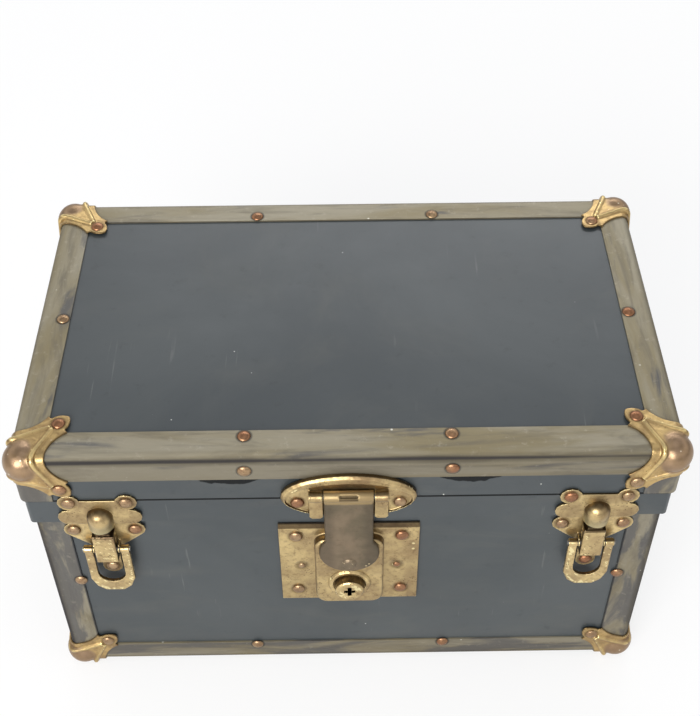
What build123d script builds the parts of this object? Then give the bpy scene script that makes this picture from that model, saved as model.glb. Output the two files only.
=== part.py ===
"""Small tin trunk: a board box in enamelled sheet, with steel angle bindings, brass corner caps,
a spring-less box lock with a hasp, two draw bolts, two back hinges and two drop handles.

Millimetres. +Z is up, +X runs along the trunk, and the front faces -Y. The origin is on the
table, under the middle of the lid.
"""

from build123d import *
import os

os.makedirs("parts", exist_ok=True)

# ------------------------------------------------------------------ driving sizes: the case

lid_length = 304.8  # over the bindings
lid_depth = 181.0
case_height = 173.0  # lid shut, over the bindings
lid_side = 30.1  # covered height of the lid's sides
band_drop = 17.6  # how far the band hangs below the covered sides
parting_drop = 9.0  # parting line below the covered sides
overhang = 3.1  # lid beyond the body, at the front and the ends
lid_gap = 0.3  # between the lid's boards and the body's

board = 6.3
panel_sheet = 0.8
band_sheet = 0.8
binding_sheet = 0.8
binding_leg = 15.8
bend = 4.0  # outside bend radius of the bindings
binding_end = 10.0  # a binding stops this far from the corner, under its cap
mitre_gap = 0.25

# corner caps
cap_sheet = 1.0
cap_reach = 16.8  # along each edge
cap_shoulder = (25.4, 15.4)
cap_arc_middle = (19.0, 9.0)
cap_notch = (23.9, 17.0)
cap_leaf = (25.7, 20.6)
cap_tip = (25.0, 25.0)
cap_rivet = 20.5  # from both edges
boss_radius = 7.9
boss_inset = 6.0  # boss centre below each face
boss_bevel = 0.585
foot_flat = 0.3  # worn off the bosses that the trunk stands on
arm_width = 5.6  # raised arm on each lobe, half its width at the boss
arm_height = 0.8

# rivets
rivet_radius = 3.25
rivet_height = 1.6
rivet_taper = 35
pin_head_radius = 1.8
lid_rivet_spread = 47.0  # along the long sides, from the middle
foot_rivet_spread = 49.5
top_rivet_inset = 12.3  # from the lid's edge
side_rivet_inset = 9.8  # down from the lid's top
corner_rivet_inset = 14.8
corner_rivet_height = 77.0
foot_rivet_height = 15.2

# ------------------------------------------------------------------ driving sizes: hardware
# A rise or a drop is measured from the parting line, where the lid meets the body.

# back hinges
hinge_spread = 85.0
hinge_width = 32.0
hinge_leaf = 21.0
hinge_rivet = 9.6  # rivets, from the middle of a hinge
hinge_sheet = 1.2
hinge_barrel = 2.6
hinge_pin_radius = 1.4
hinge_gap = 0.3
running = 0.05  # radial clearance of every hinge pin

# box lock on the body
lock_width = 68.2
lock_foot_drop = 75.9
lock_head_drop = 14.1
lock_sheet = 1.8
lock_lip = (3.0, 1.3)  # top edge taken off, down its face and back
housing_width = 33.4
housing_drop = 72.9
housing_head_drop = 21.0
housing_depth = 6.4  # out from the body's panel
housing_wall = 1.2
housing_corner = 6.0
slot_width = 4.2
plug_rise = 16.9  # above the foot of the housing
plug_radius = 7.2
plug_stand = 5.5  # plug face in front of the housing
cam_play = 0.4  # between the cam and what it turns beside
collar_radius = 10.9
collar_thick = 1.3
collar_taper = 40
round_sides = 24  # flats round a part that isn't a pin
keyway = (2.0, 7.0)
keyway_cross = (5.6, 2.2)
cam_length = 15.0
cam_width = 5.0
cam_sheet = 1.5
lock_rivets = (51.2, 43.9)  # apart, across and up
lock_rivet_drop = 45.3
lock_pins = (23.4, 1.8)  # out from the middle, and below the middle of the rivets

# hasp and its oval plate on the lid
oval_width = 63.0
oval_height = 30.0
oval_sheet = 1.2
oval_sides = 32
oval_rim = (2.0, 2.7)  # its width at the ends, and half the difference of the heights
oval_rim_drop = 1.9  # the rim is wide at the top and thin at the bottom
oval_rim_height = 3.2
oval_rise = 12.1
oval_rivets = 47.6
oval_rivet_rise = 7.1
hasp_pivot_rise = 15.5
hasp_pin_radius = 1.3
hasp_barrel = 2.8
hasp_half = 11.5
hasp_gap = 0.4
rail_width = 6.5
rail_drop = 1.9
rail_depth = 2.6
hasp_sheet = 2.4
hasp_pad = 14.6  # radius of its rounded end
hasp_notch = (8.8, 1.6)
staple_gap = 7.2  # between the staple's stem and the collar of the key plug
staple_thick = 3.0
staple_stem = 4.0
hasp_tip = 6.8  # below the middle of the staple
staple_hook = 1.4
staple_drop = 5.6
staple_play = 1.0  # over and under the staple, in the slot of the lock
staple_head = 3.9
staple_head_height = 1.0

# draw bolts
bolt_inset = 35.9  # from the ends of the lid
catch_sheet = 1.2
catch_drop = 7.9
catch_wing = (14.6, 5.0)  # lower lobes: out from the middle, and radius
catch_dip_rise = 9.1  # top edge of the plate, between its riveted lobes
catch_rivets = 26.5
catch_rivet_rise = 7.7
catch_lobe = 5.3
hood_radius = 6.0
hood_wall = 1.0
hood_drop = 8.2
hood_crown_drop = 1.9
hood_stages = ((0.5, 15), (0.3, 42), (0.15, 68))
base_sheet = 1.2
base_top_gap = 0.6  # below the band
base_rivets = 29.0
base_rivet_drop = 15.5
base_ear = 5.0
base_ear_head = 15.8
base_ear_foot = (17.0, 19.8)  # out from the middle, and its drop
base_shoulder = (11.6, 24.3)
base_neck_drop = 29.5
base_tail = 4.8
tail_rivet_drop = 44.8
pivot_drop = 25.5
pivot_stand = 3.8  # pivot in front of the base plate
pivot_radius = 1.2
lug_inside = 5.5
lug_sheet = 0.9
side_gap = 0.3
bolt_travel = 7.0
bolt_sheet = 1.1
bolt_low_drop = 33.0
bolt_high_drop = 13.0
bolt_front = 3.0  # bolt face in front of the pivot
tongue_width = 6.8
tongue_thick = 2.3
tongue_drop = 3.1
ring_half = 10.9
ring_sheet = 1.9
ring_drop = 58.9
ring_band = 7.4  # width of the ring's lower end
ring_eye = 2.0
ring_flat = 9.0
ring_turn = 9.6  # height at which its arms start to bend in
ring_cut = (2.4, 3.4)  # corner between its arm and its lower edge

# drop handles on the ends
handle_drop = 35.5
handle_plate = (84.0, 21.0)
handle_sheet = 1.2
handle_rivets = (76.0, 11.0)
ear_spread = 26.5
ear_width = 3.2
ear_wall = 1.6
bail_radius = 2.1
bail_reach = 32.0  # legs, from the middle
bail_drop = 27.0
bail_bend = 4.0
bail_stand = 3.6  # bail axis in front of the handle plate

# ------------------------------------------------------------------ planes of the case

skin = binding_sheet + panel_sheet
lid_x = lid_length / 2
lid_front = -lid_depth / 2
lid_back = lid_depth / 2
body_x = lid_x - overhang
body_front = lid_front + overhang
body_back = lid_back
foot = boss_radius - boss_inset - foot_flat
top = foot + case_height
side_foot = top - lid_side
band_foot = side_foot - band_drop
parting = side_foot - parting_drop
body_top = parting - lid_gap
inner_x = body_x - skin - board
inner_front = body_front + skin + board
inner_back = body_back - skin - board
floor = foot + skin + board
ceiling = top - skin - board
wood_bend = bend - skin
lid_panel_front = lid_front + binding_sheet
body_panel_front = body_front + binding_sheet
body_panel_x = body_x - binding_sheet
back_panel = lid_back - binding_sheet

# ------------------------------------------------------------------ places of the hardware

lock_low = parting - lock_foot_drop
lock_high = parting - lock_head_drop
housing_low = parting - housing_drop
housing_high = parting - housing_head_drop
plug_height = housing_low + plug_rise
lock_rivet_middle = parting - lock_rivet_drop
oval_middle = parting + oval_rise
oval_rivet_height = parting + oval_rivet_rise
hasp_pivot_height = parting + hasp_pivot_rise
rail_low = parting - rail_drop
staple_height = plug_height + collar_radius + staple_gap + staple_stem / 2
hasp_low = staple_height - hasp_tip
bolt_spread = lid_x - bolt_inset
catch_low = parting - catch_drop
catch_dip = parting + catch_dip_rise
catch_rivet_height = parting + catch_rivet_rise
hood_low = parting - hood_drop
hood_crown = parting - hood_crown_drop
base_rivet_height = parting - base_rivet_drop
base_neck = parting - base_neck_drop
tail_rivet_height = parting - tail_rivet_drop
pivot_height = parting - pivot_drop
bolt_low = parting - bolt_low_drop
bolt_high = parting - bolt_high_drop
tongue_high = parting - tongue_drop
ring_low = parting - ring_drop
handle_height = parting - handle_drop


def save(piece, name):
    piece.part.label = name
    export_step(piece.part, f"parts/{name}.step")


def facing(y):
    """The plane at this y that faces the front, with local x and y along X and Z."""
    return Plane.XZ.offset(-y)


def slab(low, high):
    """A board or a sheet, from its low corner to its high corner."""
    with BuildPart() as piece:
        with Locations(tuple((a + b) / 2 for a, b in zip(low, high))):
            Box(*[b - a for a, b in zip(low, high)])
    return piece


def rounded_slab(low, high, radius, face):
    """A slab with its upright edges taken off, and the edges of its "top" or "bottom" face."""
    with BuildPart() as piece:
        add(slab(low, high).part)
        outer = piece.faces().sort_by(Axis.Z)[-1 if face == "top" else 0]
        chamfer(piece.edges().filter_by(Axis.Z) + outer.edges(), radius)
    return piece


def wall_board(low, high, radius, front):
    """A front or back board, with its two outer upright edges taken off."""
    with BuildPart() as piece:
        add(slab(low, high).part)
        chamfer(piece.edges().filter_by(Axis.Z).group_by(Axis.Y)[0 if front else -1], radius)
    return piece


# ------------------------------------------------------------------ boards and panels of the body

# The body is a box of thin boards: the bottom under the four walls, the ends between front and
# back. Each face has its own enamelled sheet, whose edges stop under the bindings.

wood_x = body_x - skin
wood_front = body_front + skin
wood_back = body_back - skin

bottom_board = rounded_slab(
    (-wood_x, wood_front, foot + skin), (wood_x, wood_back, floor), wood_bend, "bottom"
)
save(bottom_board, "bottom_board")

front_board = wall_board(
    (-wood_x, wood_front, floor), (wood_x, inner_front, body_top), wood_bend, True
)
save(front_board, "front_board")

back_board = wall_board(
    (-wood_x, inner_back, floor), (wood_x, wood_back, body_top), wood_bend, False
)
save(back_board, "back_board")

for side, name in ((-1, "left_board"), (1, "right_board")):
    near, far = sorted((side * inner_x, side * wood_x))
    end_board = slab((near, inner_front, floor), (far, inner_back, body_top))
    save(end_board, name)

front_panel = slab(
    (bend - body_x, body_panel_front, foot + bend),
    (body_x - bend, body_panel_front + panel_sheet, body_top),
)
save(front_panel, "front_panel")

rear_panel = slab(
    (bend - body_x, back_panel - panel_sheet, foot + bend), (body_x - bend, back_panel, body_top)
)
save(rear_panel, "back_panel")

for side, name in ((-1, "left_panel"), (1, "right_panel")):
    near, far = sorted((side * wood_x, side * body_panel_x))
    end_panel = slab(
        (near, body_front + bend, foot + bend), (far, body_back - bend, body_top)
    )
    save(end_panel, name)

bottom_panel = slab(
    (bend - body_x, body_front + bend, foot + binding_sheet),
    (body_x - bend, body_back - bend, foot + skin),
)
save(bottom_panel, "bottom_panel")

# ------------------------------------------------------------------ boards and panels of the lid

# The lid's walls are thicker outwards than the body's, so that the lid overhangs while the
# inside stays flush. The band is nailed to them, under the panels, and hangs over the joint.

band_face = lid_front + skin
band_x = lid_x - skin
lid_wood_x = band_x - band_sheet
lid_wood_front = band_face + band_sheet
band_bend = bend - skin
lid_wood_bend = band_bend - band_sheet

lid_top_board = rounded_slab(
    (-band_x, band_face, ceiling), (band_x, wood_back, top - skin), wood_bend, "top"
)
save(lid_top_board, "lid_top_board")

lid_front_board = wall_board(
    (-lid_wood_x, lid_wood_front, parting), (lid_wood_x, inner_front, ceiling), lid_wood_bend, True
)
save(lid_front_board, "lid_front_board")

lid_back_board = wall_board(
    (-lid_wood_x, inner_back, parting), (lid_wood_x, wood_back, ceiling), lid_wood_bend, False
)
save(lid_back_board, "lid_back_board")

for side, name in ((-1, "lid_left_board"), (1, "lid_right_board")):
    near, far = sorted((side * inner_x, side * lid_wood_x))
    lid_end_board = slab((near, inner_front, parting), (far, inner_back, ceiling))
    save(lid_end_board, name)

lid_top_panel = slab(
    (bend - lid_x, lid_front + bend, top - skin), (lid_x - bend, lid_back - bend, top - binding_sheet)
)
save(lid_top_panel, "lid_top_panel")

lid_front_panel = slab(
    (bend - lid_x, lid_panel_front, side_foot), (lid_x - bend, band_face, top - bend)
)
save(lid_front_panel, "lid_front_panel")

lid_back_panel = slab(
    (bend - lid_x, wood_back, parting), (lid_x - bend, back_panel, top - bend)
)
save(lid_back_panel, "lid_back_panel")

for side, name in ((-1, "lid_left_panel"), (1, "lid_right_panel")):
    near, far = sorted((side * band_x, side * (lid_x - binding_sheet)))
    lid_end_panel = slab(
        (near, lid_front + bend, side_foot), (far, lid_back - bend, top - bend)
    )
    save(lid_end_panel, name)

# The band is one length round the front and its two corners, and one along each end.

band_turn = lid_front + 2 * bend
band_back = lid_back - bend


def band_area(half, near, radius):
    """The plan of a block with two rounded front corners, as far back as the front band goes."""
    with BuildSketch(Plane.XY.offset(band_foot)) as area:
        with Locations((0, (near + band_turn) / 2)):
            Rectangle(2 * half, band_turn - near)
        fillet(area.vertices().group_by(Axis.Y)[0], radius)
    return area.sketch


with BuildPart() as front_band:
    extrude(band_area(band_x, band_face, band_bend), amount=ceiling - band_foot)
    inside = band_area(lid_wood_x, lid_wood_front, lid_wood_bend)
    extrude(inside, amount=ceiling - band_foot, mode=Mode.SUBTRACT)
save(front_band, "front_band")

for side, name in ((-1, "left_band"), (1, "right_band")):
    near, far = sorted((side * lid_wood_x, side * band_x))
    end_band = slab((near, band_turn, band_foot), (far, band_back, ceiling))
    save(end_band, name)

# ------------------------------------------------------------------ bindings


def binding(length, start_end, far_end):
    """An angle of sheet along X, its outer faces on XY and XZ and its legs along +Y and +Z.

    Each end is "mitred" where it meets two others under a cap, or "square".
    """
    start = binding_end if start_end == "mitred" else 0
    stop = length - (binding_end if far_end == "mitred" else 0)
    with BuildPart() as strip:
        with BuildSketch(Plane.YZ.offset(start)) as profile:
            with Locations((binding_leg / 2, binding_leg / 2)):
                Rectangle(binding_leg, binding_leg)
            fillet(profile.vertices().group_by(SortBy.DISTANCE)[0], bend)
        extrude(amount=stop - start)
        with BuildSketch(Plane.YZ.offset(start)) as hollow:
            with Locations((binding_sheet + binding_leg / 2, binding_sheet + binding_leg / 2)):
                Rectangle(binding_leg, binding_leg)
            fillet(hollow.vertices().group_by(SortBy.DISTANCE)[0], bend - binding_sheet)
        extrude(amount=stop - start, mode=Mode.SUBTRACT)
        for leg in ((0, 1, 0), (0, 0, 1)):
            slope = Vector(1, 0, 0) - Vector(leg)
            if start_end == "mitred":
                split(bisect_by=Plane(origin=(mitre_gap, 0, 0), z_dir=slope), keep=Keep.TOP)
            slope = Vector(1, 0, 0) + Vector(leg)
            if far_end == "mitred":
                cut = Plane(origin=(length - mitre_gap, 0, 0), z_dir=slope)
                split(bisect_by=cut, keep=Keep.BOTTOM)
    return strip


def along(corner, direction, leg):
    """The plane that lays a binding from a corner, one leg towards leg and one across both."""
    return Plane(origin=corner, x_dir=direction, z_dir=Vector(direction).cross(Vector(leg)))


long_binding = binding(lid_length, "mitred", "mitred")
short_binding = binding(lid_depth, "mitred", "mitred")

with BuildPart() as lid_front_binding:
    with Locations(along((lid_x, lid_front, top), (-1, 0, 0), (0, 1, 0))):
        add(long_binding.part)
save(lid_front_binding, "lid_front_binding")

with BuildPart() as lid_back_binding:
    with Locations(along((-lid_x, lid_back, top), (1, 0, 0), (0, -1, 0))):
        add(long_binding.part)
save(lid_back_binding, "lid_back_binding")

with BuildPart() as lid_left_binding:
    with Locations(along((-lid_x, lid_front, top), (0, 1, 0), (1, 0, 0))):
        add(short_binding.part)
save(lid_left_binding, "lid_left_binding")

with BuildPart() as lid_right_binding:
    with Locations(along((lid_x, lid_back, top), (0, -1, 0), (-1, 0, 0))):
        add(short_binding.part)
save(lid_right_binding, "lid_right_binding")


def upright_planes(half, near, far, level, direction):
    """Where the four upright bindings of a box start, at a level, and which way they run."""
    planes = []
    for x, y in ((-half, near), (half, near), (half, far), (-half, far)):
        inward = (-1 if x > 0 else 1, 0, 0)
        across = (0, 1 if y == near else -1, 0)
        side = Vector(direction).cross(Vector(inward))
        legs_match = side.Y * across[1] > 0
        planes.append(along((x, y, level), direction, inward if legs_match else across))
    return planes


lid_upright = binding(lid_side, "mitred", "square")
with BuildPart() as lid_corner_bindings:
    with Locations(*upright_planes(lid_x, lid_front, lid_back, top, (0, 0, -1))):
        add(lid_upright.part)
save(lid_corner_bindings, "lid_corner_bindings")

body_upright = binding(body_top - foot, "mitred", "square")
with BuildPart() as body_corner_bindings:
    with Locations(*upright_planes(body_x, body_front, body_back, foot, (0, 0, 1))):
        add(body_upright.part)
save(body_corner_bindings, "body_corner_bindings")

foot_long = binding(2 * body_x, "mitred", "mitred")
foot_short = binding(body_back - body_front, "mitred", "mitred")
with BuildPart() as bottom_bindings:
    with Locations(
        along((-body_x, body_front, foot), (1, 0, 0), (0, 1, 0)),
        along((body_x, body_back, foot), (-1, 0, 0), (0, -1, 0)),
    ):
        add(foot_long.part)
    with Locations(
        along((-body_x, body_back, foot), (0, -1, 0), (1, 0, 0)),
        along((body_x, body_front, foot), (0, 1, 0), (-1, 0, 0)),
    ):
        add(foot_short.part)
save(bottom_bindings, "bottom_bindings")

# ------------------------------------------------------------------ corner caps

# A cap is pressed from one sheet: a round boss over the corner, and on each face a lobe that
# narrows to a shouldered leaf with a rivet. A raised arm runs from the boss along each lobe.
# It is modelled on a corner at the origin, with the case in the +X +Y +Z octant.


def swapped(point):
    return (point[1], point[0])


def lobe_area():
    """The outline of one lobe on XY, the same about its diagonal, with room for the bends."""
    margin = -bend
    with BuildSketch(Plane.XY) as area:
        with BuildLine():
            straight = (cap_reach, 1.5)
            Polyline((margin, margin), (cap_reach, margin), straight)
            Polyline(straight, cap_arc_middle, cap_shoulder, cap_notch, cap_leaf, cap_tip)
            Polyline(cap_tip, *[swapped(point) for point in (cap_leaf, cap_notch, cap_shoulder)])
            Polyline(*[swapped(point) for point in (cap_shoulder, cap_arc_middle, straight)])
            Polyline(swapped(straight), (margin, cap_reach), (margin, margin))
        make_face()
    return area.sketch


def corner_block(shift, size, radius):
    """A cube in the +X +Y +Z octant, moved out by shift, with the edges at its corner bevelled."""
    with BuildPart() as block:
        with Locations((size / 2 - shift,) * 3):
            Box(size, size, size)
        vertex = block.vertices().sort_by_distance((-shift, -shift, -shift))[0]
        near = [e for e in block.edges() if (e @ 0 - vertex.center()).length < 1e-6
                or (e @ 1 - vertex.center()).length < 1e-6]
        chamfer(near, (2 - 2**0.5) * radius)
    return block.part


face_planes = [
    Plane.XY,
    Plane(origin=(0, 0, 0), x_dir=(0, 1, 0), z_dir=(1, 0, 0)),
    Plane(origin=(0, 0, 0), x_dir=(0, 0, 1), z_dir=(0, 1, 0)),
]
cap_block = 2 * cap_reach

with BuildPart() as lobes:
    for face in face_planes:
        area = face * lobe_area()
        extrude(area, amount=bend)
        extrude(area, amount=-cap_sheet)
    add(corner_block(cap_sheet, cap_block, bend + cap_sheet), mode=Mode.INTERSECT)

# The boss is a ball of 26 flats.
with BuildPart() as boss:
    Box(2 * boss_radius, 2 * boss_radius, 2 * boss_radius)
    chamfer(boss.edges(), boss_bevel * boss_radius)

with BuildPart() as corner_cap:
    add(lobes.part)
    with Locations((boss_inset,) * 3):
        add(boss.part)
    for face in face_planes:
        with BuildSketch(face.offset(-cap_sheet)) as arm:
            with BuildLine():
                wide = boss_inset + arm_width
                Polyline(
                    (boss_inset, boss_inset),
                    (wide, boss_inset - arm_width / 2),
                    (cap_rivet - rivet_radius, cap_rivet - rivet_radius),
                    (boss_inset - arm_width / 2, wide),
                    close=True,
                )
            make_face()
        extrude(amount=-arm_height, taper=-30)
    add(corner_block(0, cap_block, bend), mode=Mode.SUBTRACT)


def corner_plane(x, y, z, inward):
    """The plane that brings a cap to a corner, with the case in the octant that inward gives."""
    along_x = inward[0] * inward[1] * inward[2] > 0
    first = (inward[0], 0, 0) if along_x else (0, inward[1], 0)
    return Plane(origin=(x, y, z), x_dir=first, z_dir=(0, 0, inward[2]))


def case_corners(half, near, far):
    """The plan corners of a box, each with its inward signs along X and Y."""
    return [(x, y, -1 if x > 0 else 1, 1 if y == near else -1) for x in (-half, half) for y in (near, far)]


lid_corners = case_corners(lid_x, lid_front, lid_back)
body_corners = case_corners(body_x, body_front, body_back)

with BuildPart() as lid_corner_caps:
    with Locations(*[corner_plane(x, y, top, (sx, sy, -1)) for x, y, sx, sy in lid_corners]):
        add(corner_cap.part)
save(lid_corner_caps, "lid_corner_caps")

with BuildPart() as bottom_corner_caps:
    with Locations(*[corner_plane(x, y, foot, (sx, sy, 1)) for x, y, sx, sy in body_corners]):
        add(corner_cap.part)
    split(bisect_by=Plane.XY, keep=Keep.TOP)
save(bottom_corner_caps, "bottom_corner_caps")

# ------------------------------------------------------------------ rivets

# A head is a low dome, kept to eight flats because there are so many of them.

with BuildPart() as rivet:
    with BuildSketch():
        RegularPolygon(rivet_radius, 8)
    extrude(amount=rivet_height, taper=rivet_taper)

with BuildPart() as pin_head:
    with BuildSketch():
        RegularPolygon(pin_head_radius, 8)
    extrude(amount=0.6 * rivet_height, taper=rivet_taper)

FRONT, BACK, UP, LEFT, RIGHT = (0, -1, 0), (0, 1, 0), (0, 0, 1), (-1, 0, 0), (1, 0, 0)


def heads(sites):
    """Rivet heads, each at a point with the way that it faces."""
    with BuildPart() as group:
        with Locations(*[Plane(origin=point, z_dir=normal) for point, normal in sites]):
            add(rivet.part)
    return group


def cap_sites(corners, level, upward, faces):
    """The rivet places of the caps at some corners, on the faces named: "y", "x" or "z"."""
    sites = []
    for x, y, sx, sy in corners:
        inside_x, inside_y = x + sx * cap_rivet, y + sy * cap_rivet
        height = level + upward * cap_rivet
        on_face = {
            "y": ((inside_x, y - sy * cap_sheet, height), (0, -sy, 0)),
            "x": ((x - sx * cap_sheet, inside_y, height), (-sx, 0, 0)),
            "z": ((inside_x, inside_y, level - upward * cap_sheet), (0, 0, -upward)),
        }
        sites += [on_face[face] for face in faces]
    return sites


lid_sites = cap_sites(lid_corners, top, -1, "yxz")
for x in (-lid_rivet_spread, lid_rivet_spread):
    lid_sites += [
        ((x, lid_front + top_rivet_inset, top), UP),
        ((x, lid_back - top_rivet_inset, top), UP),
        ((x, lid_front, top - side_rivet_inset), FRONT),
        ((x, lid_back, top - side_rivet_inset), BACK),
    ]
for x, normal in ((-lid_x, LEFT), (lid_x, RIGHT)):
    inset = top_rivet_inset if x < 0 else -top_rivet_inset
    lid_sites += [((x + inset, 0, top), UP), ((x, 0, top - side_rivet_inset), normal)]
lid_rivets = heads(lid_sites)
save(lid_rivets, "lid_rivets")

body_sites = cap_sites(body_corners, foot, 1, "yx")
for x, y, sx, sy in body_corners:
    body_sites += [
        ((x + sx * corner_rivet_inset, y, corner_rivet_height), (0, -sy, 0)),
        ((x, y + sy * corner_rivet_inset, corner_rivet_height), (-sx, 0, 0)),
    ]
for x in (-foot_rivet_spread, foot_rivet_spread):
    body_sites += [((x, body_front, foot_rivet_height), FRONT), ((x, body_back, foot_rivet_height), BACK)]
body_middle = (body_front + body_back) / 2
for x, normal in ((-body_x, LEFT), (body_x, RIGHT)):
    body_sites += [((x, body_middle, foot_rivet_height), normal)]
body_rivets = heads(body_sites)
save(body_rivets, "body_rivets")

# ------------------------------------------------------------------ back hinges

# The pin runs along the parting line, one barrel behind the back panels. The leaf on the body
# has the two outer knuckles and holds the pin; the leaf on the lid turns on it.

hinge_y = back_panel + hinge_barrel + hinge_gap
knuckle = hinge_width / 3
leaf_start = hinge_barrel + hinge_gap


def hinge_leaf_part(direction, knuckles, bore):
    """A leaf about a hinge pin on X through the origin, going up or down by direction."""
    plate_middle = direction * (leaf_start + hinge_leaf) / 2
    with BuildPart() as leaf:
        with BuildSketch(facing(back_panel - hinge_y + hinge_sheet)) as outline:
            with Locations((0, plate_middle)):
                Rectangle(hinge_width, hinge_leaf - leaf_start)
            chamfer(outline.vertices().group_by(Axis.Y)[0 if direction < 0 else -1], 2.5)
            with Locations(*[(x, direction * (leaf_start + lid_gap) / 2) for x in knuckles]):
                Rectangle(knuckle - hinge_gap, leaf_start - lid_gap)
        extrude(amount=hinge_sheet)
        for x in knuckles:
            with BuildSketch(Plane.YZ.offset(x)):
                RegularPolygon(hinge_barrel, 16)
            extrude(amount=(knuckle - hinge_gap) / 2, both=True)
        Cylinder(bore, hinge_width, rotation=(0, 90, 0), mode=Mode.SUBTRACT)
    return leaf


hinge_places = [(x, hinge_y, parting) for x in (-hinge_spread, hinge_spread)]
outer_knuckles = (-knuckle, knuckle)
body_leaf = hinge_leaf_part(-1, outer_knuckles, hinge_pin_radius)
lid_leaf = hinge_leaf_part(1, (0,), hinge_pin_radius + running)

with BuildPart() as hinge_body_leaves:
    with Locations(*hinge_places):
        add(body_leaf.part)
save(hinge_body_leaves, "hinge_body_leaves")

with BuildPart() as hinge_lid_leaves:
    with Locations(*hinge_places):
        add(lid_leaf.part)
save(hinge_lid_leaves, "hinge_lid_leaves")

with BuildPart() as hinge_pins:
    with Locations(*hinge_places):
        Cylinder(hinge_pin_radius, hinge_width - hinge_gap, rotation=(0, 90, 0))
save(hinge_pins, "hinge_pins")

# ------------------------------------------------------------------ box lock

# The lock's front is one pressing: two wings with rivets, and a raised housing that is open at
# the back. A slot in its face takes the staple of the hasp.

housing_front = body_panel_front - housing_depth
housing_inside = housing_front + housing_wall
staple_low = staple_height - staple_stem / 2 - staple_drop
slot_low = staple_low - staple_play
slot_high = staple_height + staple_stem / 2 + staple_play


def upright_area(width, low, high, y, radius=0):
    """A rectangle that faces the front, from its low edge to its high edge."""
    with BuildSketch(facing(y)) as area:
        with Locations((0, (low + high) / 2)):
            Rectangle(width, high - low)
        if radius:
            fillet(area.vertices(), radius)
    return area.sketch


with BuildPart() as lock_plate:
    with BuildSketch(facing(body_panel_front)):
        with Locations((0, (lock_low + lock_high) / 2)):
            Rectangle(lock_width, lock_high - lock_low)
    extrude(amount=lock_sheet)
    face = lock_plate.faces().sort_by(Axis.Y)[0]
    chamfer(face.edges().sort_by(Axis.Z)[-1], *lock_lip, reference=face)
    housing = upright_area(
        housing_width, housing_low, housing_high, body_panel_front, housing_corner
    )
    extrude(housing, amount=housing_depth)
    chamfer(lock_plate.faces().sort_by(Axis.Y)[0].edges(), 0.8 * housing_wall)
    hollow = upright_area(
        housing_width - 2 * housing_wall,
        housing_low + housing_wall,
        housing_high - housing_wall,
        body_panel_front,
        housing_corner - housing_wall,
    )
    extrude(hollow, amount=housing_depth - housing_wall, mode=Mode.SUBTRACT)
    slot = upright_area(slot_width, slot_low, slot_high, housing_inside)
    extrude(slot, amount=housing_depth, mode=Mode.SUBTRACT)
    with BuildSketch(facing(housing_inside)):
        with Locations((0, plug_height)):
            RegularPolygon(plug_radius + running, round_sides, major_radius=False)
    extrude(amount=housing_wall, mode=Mode.SUBTRACT)
save(lock_plate, "lock_plate")

with BuildPart() as lock_collar:
    with BuildSketch(facing(housing_front)):
        with Locations((0, plug_height)):
            RegularPolygon(collar_radius, round_sides)
    extrude(amount=collar_thick, taper=collar_taper)
    with BuildSketch(facing(housing_front - collar_thick)):
        with Locations((0, plug_height)):
            RegularPolygon(collar_radius - 2 * collar_thick, round_sides)
    extrude(amount=-0.6 * collar_thick, taper=collar_taper, mode=Mode.SUBTRACT)
    with BuildSketch(facing(housing_front)):
        with Locations((0, plug_height)):
            RegularPolygon(plug_radius + running, round_sides, major_radius=False)
    extrude(amount=collar_thick, mode=Mode.SUBTRACT)
save(lock_collar, "lock_collar")

# The plug turns in the housing's face. A cam on its back swings up behind the hook of the
# staple a quarter turn later, which locks the hasp.

plug_face = housing_front - plug_stand
plug_back = housing_inside + cam_play

with BuildPart() as key_plug:
    with BuildSketch(facing(plug_back)):
        with Locations((0, plug_height)):
            RegularPolygon(plug_radius, round_sides)
    extrude(amount=plug_back - plug_face)
    chamfer(key_plug.faces().sort_by(Axis.Y)[0].edges(), 0.8)
    with BuildSketch(facing(plug_face)):
        with Locations((0, plug_height)):
            Rectangle(*keyway)
            Rectangle(*keyway_cross)
    extrude(amount=-0.6 * (plug_back - plug_face), mode=Mode.SUBTRACT)
save(key_plug, "key_plug")

cam_back = plug_back + cam_sheet
with BuildPart() as lock_cam:
    with BuildSketch(facing(cam_back)):
        with Locations((cam_length / 2, plug_height)):
            Rectangle(cam_length, cam_width)
        with Locations((0, plug_height)):
            RegularPolygon(cam_width, 12)
    extrude(amount=cam_sheet)
save(lock_cam, "lock_cam")

# ------------------------------------------------------------------ hasp

# An oval plate with a rolled rim lies over the lid's binding. Two rails stand on it, with the
# knuckles that hold the hasp's pin; the rim is cut away between them, where the hasp hangs.

oval_front = lid_front - oval_sheet
pivot_y = oval_front - hasp_gap - hasp_barrel
hasp_back = housing_front - hasp_gap
hasp_front = hasp_back - hasp_sheet
rail_x = hasp_half + hasp_gap + rail_width / 2


def oval(half_width, half_height):
    """An oval of flats about the origin."""
    with BuildSketch() as area:
        RegularPolygon(half_width, oval_sides)
        scale(by=(1, half_height / half_width, 1))
    return area.sketch


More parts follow.
